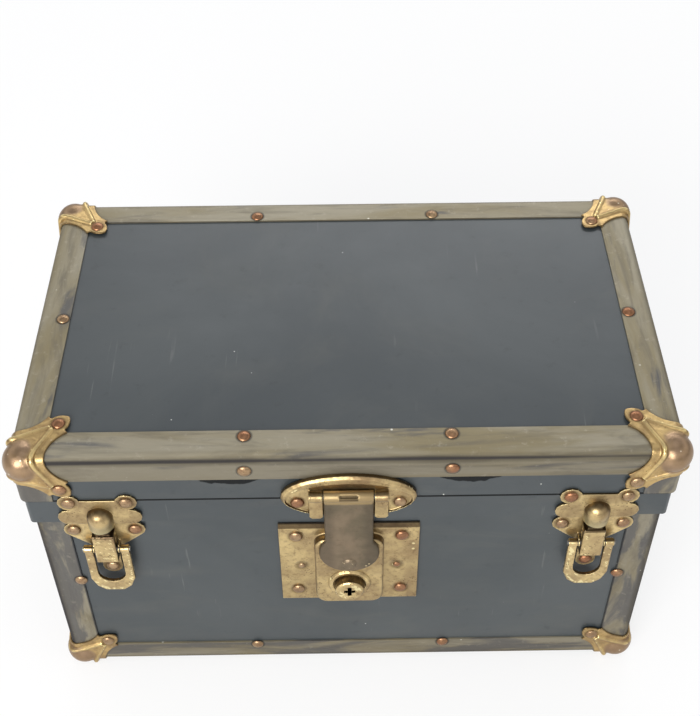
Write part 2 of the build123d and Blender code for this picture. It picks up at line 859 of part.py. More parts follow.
with BuildPart() as hasp_plate:
    with BuildSketch(facing(lid_front)):
        with Locations((0, oval_middle)):
            add(oval(oval_width / 2, oval_height / 2))
    extrude(amount=oval_rim_height)
    chamfer(hasp_plate.faces().sort_by(Axis.Y)[0].edges(), 0.4 * oval_rim_height)
    with BuildSketch(facing(oval_front)):
        with Locations((0, oval_middle - oval_rim_drop)):
            add(oval(oval_width / 2 - oval_rim[0], oval_height / 2 - oval_rim[1]))
    extrude(amount=oval_rim_height, mode=Mode.SUBTRACT)
    way = upright_area(2 * (hasp_half + hasp_gap), rail_low - 5, hasp_pivot_height, oval_front)
    extrude(way, amount=oval_rim_height, mode=Mode.SUBTRACT)
    with BuildSketch(facing(lid_front)) as rails:
        with Locations(*[(x, (rail_low + hasp_pivot_height) / 2) for x in (-rail_x, rail_x)]):
            Rectangle(rail_width, hasp_pivot_height - rail_low)
        chamfer(rails.vertices().group_by(Axis.Y)[0], rail_width / 5)
    extrude(amount=oval_sheet + rail_depth)
    with Locations(*[(x, pivot_y, hasp_pivot_height) for x in (-rail_x, rail_x)]):
        Cylinder(hasp_barrel, rail_width, rotation=(0, 90, 0))
    with Locations((0, pivot_y, hasp_pivot_height)):
        Cylinder(hasp_pin_radius, 4 * rail_x, rotation=(0, 90, 0), mode=Mode.SUBTRACT)
save(hasp_plate, "hasp_plate")

with BuildPart() as hasp_pin:
    with Locations((0, pivot_y, hasp_pivot_height)):
        Cylinder(hasp_pin_radius, 2 * rail_x + rail_width, rotation=(0, 90, 0))
save(hasp_pin, "hasp_pin")

pad_height = hasp_low + hasp_pad
with BuildPart() as hasp:
    with BuildSketch(facing(hasp_back)):
        with Locations((0, (pad_height + hasp_pivot_height) / 2)):
            Rectangle(2 * hasp_half, hasp_pivot_height - pad_height)
        with Locations((0, pad_height)):
            RegularPolygon(hasp_pad, round_sides)
    extrude(amount=hasp_sheet)
    rounded = hasp.faces().sort_by(Axis.Y)[0].edges().sort_by(Axis.Z)[:-1]
    chamfer(rounded, 0.3 * hasp_sheet)
    with Locations((0, pivot_y, hasp_pivot_height)):
        Cylinder(hasp_barrel, 2 * hasp_half, rotation=(0, 90, 0))
        Cylinder(hasp_pin_radius + running, 3 * hasp_half, rotation=(0, 90, 0), mode=Mode.SUBTRACT)
    with Locations((0, pivot_y - hasp_barrel, hasp_pivot_height + hasp_barrel)):
        Box(hasp_notch[0], 2 * hasp_notch[1], 2 * hasp_notch[1], mode=Mode.SUBTRACT)
    with Locations((0, (hasp_back + hasp_front) / 2, staple_height)):
        Box(staple_thick, 2 * hasp_sheet, staple_stem, mode=Mode.SUBTRACT)
save(hasp, "hasp")

# The staple passes through the hasp, with a domed head outside and a hook inside the housing,
# which turns down behind the cam.

hook_front = cam_back + cam_play
with BuildPart() as hasp_staple:
    with BuildSketch(Plane.YZ.offset(-staple_thick / 2)):
        with BuildLine():
            stem_low = staple_height - staple_stem / 2
            stem_high = staple_height + staple_stem / 2
            hook_back = hook_front + staple_hook
            Polyline(
                (hasp_front, stem_low),
                (hook_front, stem_low),
                (hook_front, staple_low),
                (hook_back, staple_low),
                (hook_back, stem_high),
                (hasp_front, stem_high),
                close=True,
            )
        make_face()
    extrude(amount=staple_thick)
    with BuildSketch(facing(hasp_front)):
        with Locations((0, staple_height)):
            RegularPolygon(staple_head, 12)
    extrude(amount=staple_head_height, taper=50)
save(hasp_staple, "hasp_staple")

# ------------------------------------------------------------------ draw bolts

# Each draw bolt is made about X = 0. The catch plate on the lid has a hood, open downwards. The
# base plate on the body has two lugs with a pin, on which a ring lever turns; the bolt is a
# channel that slides between the lugs, with a tongue that reaches up into the hood.

catch_front = lid_panel_front - catch_sheet
base_front = body_front - base_sheet
base_top = band_foot - base_top_gap
lever_y = base_front - pivot_stand
bolt_face = lever_y - bolt_front
lobe_x = catch_rivets / 2
ear_x = base_rivets / 2

with BuildPart() as hood:
    for radius, low, mode in (
        (hood_radius, hood_low, Mode.ADD),
        (hood_radius - hood_wall, hood_low - 1, Mode.SUBTRACT),
    ):
        with BuildPart(mode=mode):
            with BuildSketch(Plane.XY.offset(low)):
                with Locations((0, catch_front)):
                    RegularPolygon(radius, 16)
            extrude(amount=hood_crown - low)
            for rise, taper in hood_stages:
                crown = faces().sort_by(Axis.Z)[-1]
                extrude(crown, amount=rise * radius, taper=taper)
    split(bisect_by=facing(catch_front), keep=Keep.TOP)

with BuildPart() as catch_plate:
    with BuildSketch(facing(lid_panel_front)):
        with Locations((0, (catch_low + catch_dip) / 2)):
            Rectangle(2 * lobe_x, catch_dip - catch_low)
        with Locations(*[(x, catch_rivet_height) for x in (-lobe_x, lobe_x)]):
            RegularPolygon(catch_lobe, 12)
        with Locations(*[(x, catch_low + catch_wing[1]) for x in (-catch_wing[0], catch_wing[0])]):
            RegularPolygon(catch_wing[1], 12, major_radius=False)
    extrude(amount=catch_sheet)
    add(hood.part)

with BuildPart() as base_plate:
    with BuildSketch(facing(body_front)):
        with BuildLine():
            Polyline(
                (0, base_top),
                (base_ear_head, base_top),
                (base_ear_foot[0], parting - base_ear_foot[1]),
                (base_shoulder[0], parting - base_shoulder[1]),
                (base_tail, base_neck),
                (base_tail, tail_rivet_height),
                (0, tail_rivet_height),
            )
            mirror(about=Plane.YZ)
        make_face()
        with Locations((-ear_x, base_rivet_height), (ear_x, base_rivet_height)):
            RegularPolygon(base_ear, 12)
        with Locations((0, tail_rivet_height)):
            RegularPolygon(base_tail, 12, major_radius=False)
    extrude(amount=base_sheet)
    for x in (-lug_inside - lug_sheet, lug_inside):
        with BuildSketch(Plane.YZ.offset(x)):
            with Locations(((base_front + lever_y) / 2, pivot_height)):
                Rectangle(base_front - lever_y, 2 * ring_eye + 1)
            with Locations((lever_y, pivot_height)):
                RegularPolygon(ring_eye, 12)
        extrude(amount=lug_sheet)
    with Locations((0, lever_y, pivot_height)):
        Cylinder(pivot_radius, 4 * lug_inside, rotation=(0, 90, 0), mode=Mode.SUBTRACT)

with BuildPart() as pivot_pin:
    with Locations((0, lever_y, pivot_height)):
        Cylinder(pivot_radius, 2 * ring_half + 1, rotation=(0, 90, 0))

# The bolt slides on the same pin, which runs through a slot in each of its sides.
bolt_half = lug_inside - side_gap
bolt_back = base_front - 2 * side_gap
slot_height = bolt_travel + 2 * (pivot_radius + running)

with BuildPart() as bolt:
    with BuildSketch(facing(bolt_back)):
        with Locations((0, (bolt_low + bolt_high) / 2)):
            Rectangle(2 * bolt_half, bolt_high - bolt_low)
    extrude(amount=bolt_back - bolt_face)
    chamfer(bolt.faces().sort_by(Axis.Y)[0].edges(), 0.6)
    with BuildSketch(facing(bolt_back)):
        with Locations((0, (bolt_low + bolt_high) / 2 - bolt_sheet)):
            Rectangle(2 * (bolt_half - bolt_sheet), bolt_high - bolt_low)
    extrude(amount=bolt_back - bolt_face - bolt_sheet, mode=Mode.SUBTRACT)
    with BuildSketch(Plane.YZ):
        with Locations((lever_y, pivot_height + bolt_travel / 2)):
            SlotOverall(slot_height, 2 * (pivot_radius + running), rotation=90)
    extrude(amount=2 * bolt_half, both=True, mode=Mode.SUBTRACT)
    with BuildSketch(Plane.XY.offset(bolt_high - bolt_sheet)):
        with Locations((0, bolt_face + bolt_sheet + tongue_thick / 2 + side_gap)):
            Rectangle(tongue_width, tongue_thick)
    extrude(amount=tongue_high - bolt_high + bolt_sheet)
    chamfer(bolt.faces().sort_by(Axis.Z)[-1].edges(), 0.7)

with BuildPart() as ring:
    with BuildSketch(facing(lever_y + ring_sheet / 2)):
        with BuildLine():
            Polyline(
                (0, ring_low),
                (ring_flat / 2, ring_low),
                (ring_half - ring_cut[0], ring_low + ring_cut[1]),
                (ring_half, ring_low + ring_turn),
                (ring_half, pivot_height),
                (0, pivot_height),
            )
            mirror(about=Plane.YZ)
        make_face()
    extrude(amount=ring_sheet)
    chamfer(ring.faces().sort_by(Axis.Y)[0].edges().sort_by(Axis.Z)[:-1], 0.5)
    with BuildSketch(Plane.YZ):
        with Locations((lever_y, pivot_height)):
            RegularPolygon(ring_eye, 12)
    extrude(amount=ring_half, both=True)
    with BuildSketch(facing(lever_y + 2 * ring_eye)):
        window_half = lug_inside + lug_sheet + side_gap
        window_low = ring_low + ring_band
        window_high = pivot_height + 2 * ring_eye
        with Locations((0, window_low + window_half)):
            RegularPolygon(window_half, 16)
        with Locations((0, (window_low + window_half + window_high) / 2)):
            Rectangle(2 * window_half, window_high - window_low - window_half)
    extrude(amount=4 * ring_eye, mode=Mode.SUBTRACT)
    with Locations((0, lever_y, pivot_height)):
        Cylinder(pivot_radius + running, 3 * ring_half, rotation=(0, 90, 0), mode=Mode.SUBTRACT)

for side, x in (("left", -bolt_spread), ("right", bolt_spread)):
    for piece, name in (
        (catch_plate, "catch_plate"),
        (base_plate, "base_plate"),
        (bolt, "bolt"),
        (ring, "lever"),
    ):
        with BuildPart() as placed:
            with Locations((x, 0, 0)):
                add(piece.part)
        save(placed, f"{side}_{name}")

with BuildPart() as draw_bolt_pins:
    with Locations((-bolt_spread, 0, 0), (bolt_spread, 0, 0)):
        add(pivot_pin.part)
save(draw_bolt_pins, "draw_bolt_pins")

# ------------------------------------------------------------------ end handles

# A plate on each end has two ears. A wire bail with its ends turned in hangs from them.

bail_x = handle_sheet + bail_stand
bail_end = ear_spread - ear_width
ear_cut = bail_reach - ear_spread - 0.7 * ear_width
end_planes = [
    Plane(origin=(-body_panel_x, body_middle, handle_height), x_dir=(0, -1, 0), z_dir=(-1, 0, 0)),
    Plane(origin=(body_panel_x, body_middle, handle_height), x_dir=(0, 1, 0), z_dir=(1, 0, 0)),
]

with BuildPart() as handle_plate_part:
    with BuildSketch():
        Rectangle(*handle_plate)
        chamfer(vertices(), 4)
    extrude(amount=handle_sheet)
    for x in (-ear_spread, ear_spread):
        with BuildSketch(Plane.YZ.offset(x - ear_width / 2)):
            with Locations((0, bail_x / 2)):
                Rectangle(2 * (bail_radius + ear_wall), bail_x)
            with Locations((0, bail_x)):
                RegularPolygon(bail_radius + ear_wall, 12)
        extrude(amount=ear_width)
    with Locations((0, 0, bail_x)):
        Cylinder(bail_radius + running, 3 * ear_spread, rotation=(0, 90, 0), mode=Mode.SUBTRACT)

with BuildPart() as handle_plates:
    with Locations(*end_planes):
        add(handle_plate_part.part)
save(handle_plates, "handle_plates")

with BuildPart() as bail:
    with BuildLine(Plane.XY.offset(bail_x)):
        wire = Polyline(
            (-bail_end, 0),
            (-bail_reach + ear_cut, 0),
            (-bail_reach, -ear_cut),
            (-bail_reach, -bail_drop + bail_bend),
            (-bail_reach + bail_bend, -bail_drop),
            (bail_reach - bail_bend, -bail_drop),
            (bail_reach, -bail_drop + bail_bend),
            (bail_reach, -ear_cut),
            (bail_reach - ear_cut, 0),
            (bail_end, 0),
        )
    with BuildSketch(Plane(origin=wire @ 0, z_dir=wire % 0)):
        RegularPolygon(bail_radius, 10)
    sweep(transition=Transition.RIGHT)

for name, plane in zip(("left_handle", "right_handle"), end_planes):
    with BuildPart() as placed:
        with Locations(plane):
            add(bail.part)
    save(placed, name)

# ------------------------------------------------------------------ rivets of the hardware


def across(x, z, y, normal=FRONT):
    """A pair of rivet sites, at the same height on both sides of the middle."""
    return [((-x, y, z), normal), ((x, y, z), normal)]


catch_sites = []
base_sites = []
for x in (-bolt_spread, bolt_spread):
    catch_sites += [((x + u, catch_front, catch_rivet_height), FRONT) for u in (-lobe_x, lobe_x)]
    base_sites += [((x + u, base_front, base_rivet_height), FRONT) for u in (-ear_x, ear_x)]
    base_sites += [((x, base_front, tail_rivet_height), FRONT)]

leaf_face = back_panel + hinge_sheet
leaf_rivet = (leaf_start + hinge_leaf) / 2
leaf_places = [x + u for x in (-hinge_spread, hinge_spread) for u in (-hinge_rivet, hinge_rivet)]
lid_leaf_sites = [((x, leaf_face, parting + leaf_rivet), BACK) for x in leaf_places]
body_leaf_sites = [((x, leaf_face, parting - leaf_rivet), BACK) for x in leaf_places]

oval_sites = across(oval_rivets / 2, oval_rivet_height, oval_front)
lid_hardware_rivets = heads(catch_sites + lid_leaf_sites + oval_sites)
save(lid_hardware_rivets, "lid_hardware_rivets")

lock_face = body_panel_front - lock_sheet
lock_sites = []
for z in (lock_rivet_middle - lock_rivets[1] / 2, lock_rivet_middle + lock_rivets[1] / 2):
    lock_sites += across(lock_rivets[0] / 2, z, lock_face)

handle_sites = []
for y in (body_middle - handle_rivets[0] / 2, body_middle + handle_rivets[0] / 2):
    for z in (handle_height - handle_rivets[1] / 2, handle_height + handle_rivets[1] / 2):
        plate_face = body_panel_x + handle_sheet
        handle_sites += [((-plate_face, y, z), LEFT), ((plate_face, y, z), RIGHT)]

body_hardware_rivets = heads(base_sites + body_leaf_sites + lock_sites + handle_sites)
with body_hardware_rivets:
    pin_sites = across(lock_pins[0], lock_rivet_middle - lock_pins[1], lock_face)
    with Locations(*[Plane(origin=point, z_dir=way) for point, way in pin_sites]):
        add(pin_head.part)
save(body_hardware_rivets, "body_hardware_rivets")
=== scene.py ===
import math

import bmesh
import bpy
from mathutils import Matrix, Vector


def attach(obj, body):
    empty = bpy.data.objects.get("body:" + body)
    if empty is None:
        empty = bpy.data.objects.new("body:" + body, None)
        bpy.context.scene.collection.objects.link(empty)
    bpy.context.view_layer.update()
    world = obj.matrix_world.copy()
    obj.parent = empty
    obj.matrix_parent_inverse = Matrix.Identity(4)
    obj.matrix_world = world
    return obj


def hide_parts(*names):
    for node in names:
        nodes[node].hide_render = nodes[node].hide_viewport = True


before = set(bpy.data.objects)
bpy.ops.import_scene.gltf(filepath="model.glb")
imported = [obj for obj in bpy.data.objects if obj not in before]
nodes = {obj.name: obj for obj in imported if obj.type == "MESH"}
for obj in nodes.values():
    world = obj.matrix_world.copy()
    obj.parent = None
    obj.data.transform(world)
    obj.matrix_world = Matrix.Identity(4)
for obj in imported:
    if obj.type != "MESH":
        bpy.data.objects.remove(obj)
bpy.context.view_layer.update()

# ---------------------------------------------------------------- camera and daylight
# The trunk is seen from above and in front, almost on its middle line. It stands on a white
# sheet in a bright room, with a soft window in front and to the left.

lens = bpy.data.cameras.new("lens")
lens.lens = 63.2
lens.clip_start = 0.01
camera = bpy.data.objects.new("camera", lens)
camera.location = (-0.00147, -0.45153, 0.60437)
camera.rotation_euler = (0.7762, 0.0055, -0.0128)
bpy.context.scene.collection.objects.link(camera)
bpy.context.scene.camera = camera
bpy.context.scene.view_settings.view_transform = "Standard"


class Signal:
    """A socket of a finish. Arithmetic on signals adds Math nodes, and node() adds any other."""

    def __init__(self, tree, socket=None):
        self.tree = tree
        self.socket = socket

    def node(self, kind, settings, sockets, out=0):
        made = self.tree.nodes.new("ShaderNode" + kind)
        for name, value in settings.items():
            if name == "stops":
                ramp = made.color_ramp.elements
                while len(ramp) < len(value):
                    ramp.new(1.0)
                for stop, (position, shade) in zip(ramp, value):
                    stop.position = position
                    stop.color = shade
            else:
                setattr(made, name, value)
        for name, value in sockets.items():
            if isinstance(value, Signal):
                self.tree.links.new(value.socket, made.inputs[name])
            else:
                made.inputs[name].default_value = value
        return Signal(self.tree, made.outputs[out])

    def math(self, operation, first, second):
        return self.node("Math", {"operation": operation}, {0: first, 1: second})

    def __add__(self, other):
        return self.math("ADD", self, other)

    def __radd__(self, other):
        return self.math("ADD", other, self)

    def __sub__(self, other):
        return self.math("SUBTRACT", self, other)

    def __rsub__(self, other):
        return self.math("SUBTRACT", other, self)

    def __mul__(self, other):
        return self.math("MULTIPLY", self, other)

    def __rmul__(self, other):
        return self.math("MULTIPLY", other, self)

    def __abs__(self):
        return self.math("ABSOLUTE", self, 0.0)


def along(place, axis):
    """One coordinate of a place or a direction: 0 for X, 1 for Y and 2 for Z."""
    return place.node("SeparateXYZ", {}, {0: place}, out=axis)


def window_light(name, place, aim, width, height, watts, warmth):
    """A soft rectangular lamp at a place, turned to a point."""
    lamp = bpy.data.lights.new(name, "AREA")
    lamp.shape = "RECTANGLE"
    lamp.size = width
    lamp.size_y = height
    lamp.energy = watts
    lamp.color = warmth
    holder = bpy.data.objects.new(name, lamp)
    holder.location = place
    holder.rotation_euler = (Vector(aim) - Vector(place)).to_track_quat("-Z", "Y").to_euler()
    bpy.context.scene.collection.objects.link(holder)


trunk_middle = (0, 0, 0.1)
window_light("window", (-0.55, -1.35, 0.85), trunk_middle, 1.0, 0.7, 24.0, (1.0, 0.985, 0.96))
window_light("ceiling", (0.3, 0.0, 1.9), trunk_middle, 1.4, 1.0, 2.0, (0.97, 0.985, 1.0))
window_light("back_window", (0.2, 1.9, 1.5), trunk_middle, 1.6, 0.5, 10.0, (0.97, 0.985, 1.0))

room = bpy.data.worlds.new("room")
bpy.context.scene.world = room
room.use_nodes = True
backdrop = Signal(room.node_tree)
direction = backdrop.node("TexCoord", {}, {}, out=0)
furniture = backdrop.node("TexNoise", {}, {"Vector": direction, "Scale": 1.6, "Detail": 2.0})
floor_to_ceiling = [
    (0.0, (0.60, 0.60, 0.61, 1)), (0.47, (0.12, 0.12, 0.13, 1)), (0.54, (0.10, 0.10, 0.11, 1)),
    (0.60, (0.92, 0.92, 0.93, 1)), (0.79, (1.30, 1.31, 1.33, 1)), (0.88, (0.32, 0.33, 0.35, 1)),
    (0.95, (0.40, 0.41, 0.43, 1)), (1.0, (0.80, 0.81, 0.83, 1)),
]
level = along(direction, 2) * 0.5 + 0.46 + furniture * 0.08
walls = backdrop.node("ValToRGB", {"stops": floor_to_ceiling}, {0: level})
to_lens = backdrop.node("LightPath", {}, {}, out=0)
room_colour = backdrop.node("Mix", {"data_type": "RGBA"}, {0: to_lens, 6: walls, 7: (1, 1, 1, 1)}, out=2)
room.node_tree.links.new(room_colour.socket, room.node_tree.nodes["Background"].inputs[0])

bpy.ops.mesh.primitive_plane_add(size=8.0, location=(0, 0, 0))
sheet = bpy.context.object
sheet.name = "white_sheet"
paper = bpy.data.materials.new("white_sheet")
paper.use_nodes = True
paper_shader = paper.node_tree.nodes["Principled BSDF"]
paper_shader.inputs["Base Color"].default_value = (0.86, 0.86, 0.86, 1)
paper_shader.inputs["Roughness"].default_value = 0.9
lit = Signal(paper.node_tree, paper_shader.outputs[0])
glow = lit.node("Emission", {}, {"Color": (1, 1, 1, 1), "Strength": 1.0})
paper_to_lens = lit.node("LightPath", {}, {}, out=0)
paper_mix = lit.node("MixShader", {}, {0: paper_to_lens * 0.72, 1: lit, 2: glow})
paper.node_tree.links.new(paper_mix.socket, paper.node_tree.nodes["Material Output"].inputs["Surface"])
sheet.data.materials.append(paper)

# ---------------------------------------------------------------- boards
# The case is nailed up from planed softwood boards, six millimetres thick. They show only
# inside, where the bare wood has yellowed and picked up dust and water stains.


def tone(red, green, blue):
    """A colour as it looks on a screen, from 0 to 255, as the linear colour of a socket."""
    linear = [((v / 255 + 0.055) / 1.055) ** 2.4 if v > 10 else v / 3294.6 for v in (red, green, blue)]
    return (*linear, 1.0)


def squeezed(place, scale):
    """A place squeezed by a scale on each axis, so that a pattern on it is drawn out."""
    return place.node("Mapping", {}, {"Vector": place, "Scale": scale})


def cloud(place, lumps, detail=3.0, rough=0.5, warp=0.0):
    """Soft noise from 0 to 1, with so many lumps to the metre."""
    sockets = {"Vector": place, "Scale": lumps, "Detail": detail, "Roughness": rough, "Distortion": warp}
    return place.node("TexNoise", {}, sockets)


def between(value, low, high):
    """0 where a value is below low, 1 where it is above high, and smooth between."""
    return value.node("MapRange", {"interpolation_type": "SMOOTHSTEP"}, {0: value, 1: low, 2: high})


def tint(amount, first, second):
    """The first colour, turned to the second by an amount."""
    return amount.node("Mix", {"data_type": "RGBA"}, {0: amount, 6: first, 7: second}, out=2)


def relief(height, depth, strength=1.0, under=None):
    """A surface raised by a height signal, over so many metres."""
    sockets = {"Height": height, "Distance": depth, "Strength": strength}
    if under:
        sockets["Normal"] = under
    return height.node("Bump", {}, sockets)


def finish(name, make):
    """A material. make() gets the object's own coordinates and gives the shader's sockets."""
    made = bpy.data.materials.new(name)
    made.use_nodes = True
    shader = made.node_tree.nodes["Principled BSDF"]
    place = Signal(made.node_tree).node("TexCoord", {}, {}, out=3)
    for socket, value in make(place).items():
        if isinstance(value, Signal):
            made.node_tree.links.new(value.socket, shader.inputs[socket])
        else:
            shader.inputs[socket].default_value = value
    return made


def dress(names, material):
    """Gives nodes of the frame a material in place of their plain colour."""
    for name in names:
        nodes[name].data.materials.clear()
        nodes[name].data.materials.append(material)


def board_wood(grain_scale):
    """Bare softwood whose grain runs along the axis that the scale draws out."""

    def make(place):
        grain = squeezed(place, grain_scale)
        rings = cloud(grain, 34, 4, 0.55, 1.6)
        fibre = cloud(grain, 420, 3, 0.6)
        lines = rings.node("Math", {"operation": "SINE"}, {0: rings * 60.0})
        stain = cloud(place, 11, 4, 0.6)
        wood = tint(between(lines, -0.8, 1.0), tone(190, 157, 114), tone(172, 137, 94))
        wood = tint(fibre * 0.55, wood, tone(136, 102, 68))
        wood = tint(between(stain, 0.52, 0.75) * 0.55, wood, tone(112, 88, 62))
        return {
            "Base Color": wood,
            "Roughness": 0.62 + fibre * 0.2,
            "Normal": relief(fibre + lines * 0.2, 0.00012, 0.5),
        }

    return make


long_boards = ["bottom_board", "front_board", "back_board"]
long_boards += ["lid_top_board", "lid_front_board", "lid_back_board"]
end_boards = ["left_board", "right_board", "lid_left_board", "lid_right_board"]
dress(long_boards, finish("board_wood_long", board_wood((0.06, 1, 1))))
dress(end_boards, finish("board_wood_end", board_wood((1, 0.06, 1))))

# ---------------------------------------------------------------- enamelled sheets and bands
# Sheet steel, stoved in a blue-black enamel that has gone dull and grey, with hair scratches,
# rubbed patches and specks of dust. It is faintly wavy over the boards. Painted shadow lies black
# along the gap above the band, in two marks under the front strip, and behind the ring levers,
# where the enamel is also rubbed dark.


def reach(node, axis, way=1):
    """How far a node of the frame reaches along an axis, or back along it with way -1."""
    return max(way * corner.co[axis] for corner in nodes[node].data.vertices)


gap_shadow_height = -reach("lid_front_panel", 2, -1) - 0.0015
strip_foot = -reach("lid_front_binding", 2, -1)
back_from = -reach("back_panel", 1, -1) - 0.0014
mark_middle, mark_drop, mark_curve, mark_waver = 0.055, 0.0046, 17.3, 0.005
bolt_middle = 0.1165
behind_ring = (bolt_middle, reach("front_panel", 1, -1), -reach("left_lever", 2, -1) + 0.0002)


def vector(operation, first, second=(0, 0, 0)):
    """A sum, product or other combination of two places."""
    return first.node("VectorMath", {"operation": operation}, {0: first, 1: second})


def mirrored(place, middle=(0, 0, 0)):
    """A place folded over a middle, so that one mark stands for its mirror images too."""
    return vector("ABSOLUTE", vector("SUBTRACT", place, middle))


def distance(place, point):
    """How far a place is from a point."""
    return place.node("VectorMath", {"operation": "DISTANCE"}, {0: place, 1: point}, out=1)


def specks(place, crowd, core, rim, rare):
    """1 in round specks and 0 between them. Of a crowd to the metre, all but a rare few are left out."""
    cells = {"Vector": place, "Scale": crowd, "Randomness": 1.0}
    dot = 1.0 - between(place.node("TexVoronoi", {}, cells), core, rim)
    pick = place.node("SeparateColor", {}, {0: place.node("TexVoronoi", {}, cells, out=1)}, out=0)
    return dot * between(pick, rare, rare + 0.02)


def enamel(place):
    high = along(place, 2)
    back = along(place, 1)
    mirror = mirrored(place)
    patches = cloud(place, 8, 5, 0.62, 0.4)
    rubbed = cloud(squeezed(place, (0.5, 0.5, 1.6)), 30, 5, 0.65, 0.8)
    grime = cloud(place, 140, 4, 0.6)
    hair = between(cloud(squeezed(place, (1.0, 0.05, 0.08)), 420, 2), 0.66, 0.74)
    hair = hair * between(cloud(place, 17, 3), 0.54, 0.66)
    dust = specks(place, 112, 0.026, 0.050, 0.84)
    # Painted shadow: a thin black line along the gap above the band, though not on the back.
    fold = 1.0 - between(abs(high - gap_shadow_height), 0.00060, 0.00080)
    fold = fold * (1.0 - between(back, back_from, back_from + 0.0010))
    # Painted shadow: two black marks under the front strip, with a wavering edge, and a black patch behind
    # each ring lever, over enamel rubbed dark; only on the front.
    aside = along(mirror, 0) - mark_middle
    edge = aside * aside * mark_curve + (cloud(place, 150, 3) - 0.5) * mark_waver + (strip_foot - mark_drop)
    black = between(high - edge, 0.0, 0.0006)
    black = black * (1.0 - between(high, strip_foot + 0.0012, strip_foot + 0.0022))
    black = black + (1.0 - between(distance(mirror, behind_ring), 0.0040, 0.0096)) * 0.8
    black = black * (1.0 - between(back, -0.02, 0.0))
    colour = tint(between(patches, 0.32, 0.72), tone(46, 52, 55), tone(60, 65, 67))
    colour = tint(between(rubbed, 0.45, 0.80) * 0.3, colour, tone(84, 84, 78))
    colour = tint(between(grime, 0.60, 0.78) * 0.4, colour, tone(29, 33, 37))
    colour = tint(hair * 0.30, colour, tone(120, 122, 118))
    colour = tint(dust * 0.85, colour, tone(206, 206, 200))
    # Painted shadow: the black marks, and then the black line along the gap.
    colour = tint(black * 0.92, colour, tone(9, 11, 13))
    colour = tint(fold, colour, tone(8, 10, 12))
    waves = cloud(place, 14, 2, 0.4)
    peel = cloud(place, 900, 2, 0.5)
    return {
        "Base Color": colour,
        "Roughness": 0.30 + rubbed * 0.16 + grime * 0.06 + fold * 0.4,
        "Normal": relief(peel, 0.00002, 0.5, relief(waves, 0.0016, 0.35)),
        "Metallic": (black + fold) * 0.7,
        "Specular IOR Level": 0.42,
        "Coat Weight": 0.16 - black * 0.16,
        "Coat Roughness": 0.28,
    }


sheets = ["front_panel", "back_panel", "left_panel", "right_panel", "bottom_panel"]
sheets += ["lid_top_panel", "lid_front_panel", "lid_back_panel", "lid_left_panel", "lid_right_panel"]
sheets += ["front_band", "left_band", "right_band"]
dress(sheets, finish("blue_black_enamel", enamel))

# ---------------------------------------------------------------- bindings
# Angle strips of thin steel, washed with brass and rolled over the edges. The wash has worn
# along each strip in streaks: grey steel, olive brass, and blue-black where it has tarnished.

strip = 0.0158
lid_half = reach("lid_corner_bindings", 0)
lid_depth = reach("lid_corner_bindings", 1)
lid_top = reach("lid_front_binding", 2)
body_half = reach("bottom_bindings", 0)
body_front = reach("bottom_bindings", 1, -1)
body_back = reach("bottom_bindings", 1)
body_foot = -reach("bottom_bindings", 2, -1)
body_middle = (body_back - body_front) / 2


def facing(place, axis):
    """How far a surface faces along an axis, from -1 to 1."""
    return along(place.node("TexCoord", {}, {}, out=1), axis)


def round_rivets(place, spots, low, high):
    """1 close round some rivets, and 0 away from them."""
    off = distance(place, spots[0])
    for spot in spots[1:]:
        off = off.math("MINIMUM", off, distance(place, spot))
    return 1.0 - between(off, low, high)


def binding_metal(grain, section, fold, spots, shade=0.45, smeared=0.54, borders=(), side_grain=None):
    """The metal of a strip: its grain, painted shade on the line of its fold in its section, and its rivets.

    What doesn't face upwards is darkened by a painted shade. Borders are the strip's straight
    edges, and a side grain is that of the strips which run the other way past the corner.
    """

    def make(place):
        mirror = mirrored(place)
        run = squeezed(place, grain)
        if side_grain:
            across = abs(along(place, 0))
            on_side = across.math("GREATER_THAN", across, body_half - strip - 0.0004)
            grains = {0: on_side, 4: run, 5: squeezed(place, side_grain)}
            run = place.node("Mix", {"data_type": "VECTOR"}, grains, out=1)
        streak = cloud(run, 150, 5, 0.65, 0.8)
        broad = cloud(run, 46, 4, 0.6, 1.0)
        smear = cloud(run, 78, 5, 0.6, 0.6)
        brush = cloud(run, 900, 3, 0.6)
        stain = cloud(place, 230, 5, 0.7)
        colour = tint(between(broad, 0.36, 0.66), tone(144, 137, 118), tone(128, 117, 88))
        colour = tint(between(streak, 0.46, 0.74) * 0.65, colour, tone(96, 90, 78))
        colour = tint(between(smear, smeared, smeared + 0.12) * 0.75, colour, tone(64, 67, 76))
        colour = tint(between(stain, 0.56, 0.76) * 0.40, colour, tone(178, 172, 156))
        colour = tint(brush * 0.22, colour, tone(86, 82, 74))
        # Painted shade on what doesn't face upwards.
        colour = tint((1.0 - between(facing(place, 2), 0.25, 0.65)) * shade, colour, tone(70, 64, 52))
        # Painted shade: a dark line along the fold, where the rolled edge turns down.
        off = distance(vector("MULTIPLY", mirror, section), fold)
        drift = (cloud(run, 40, 4, 0.5) - 0.5) * 0.0050
        line = 1.0 - between(off + drift, 0.0003, 0.0019)
        colour = tint(line * (0.35 + between(cloud(run, 26, 3), 0.38, 0.54) * 0.6), colour, tone(24, 26, 38))
        for axis, edge in borders:
            past = along(mirror, axis) - edge
            colour = tint((1.0 - between(past, 0.0003, 0.0009)) * 0.85, colour, tone(24, 26, 32))
        # Painted shade over the rolled bend, which is also made rougher.
        painted_bend_shade = 1.0 - between(off, 0.0014, 0.0040)
        colour = tint(painted_bend_shade * 0.35, colour, tone(70, 64, 52))
        colour = tint(round_rivets(mirror, spots, 0.0032, 0.0044) * 0.75, colour, tone(40, 38, 36))
        colour = tint(specks(place, 150, 0.05, 0.11, 0.90) * 0.8, colour, tone(222, 220, 210))
        return {
            "Base Color": colour,
            "Metallic": 0.38,
            "Roughness": 0.34 + streak * 0.22 + brush * 0.08 + painted_bend_shade * 0.4,
            "Normal": relief(brush * 0.5 + streak, 0.00010, 0.4, relief(broad, 0.0009, 0.4)),
        }

    return make


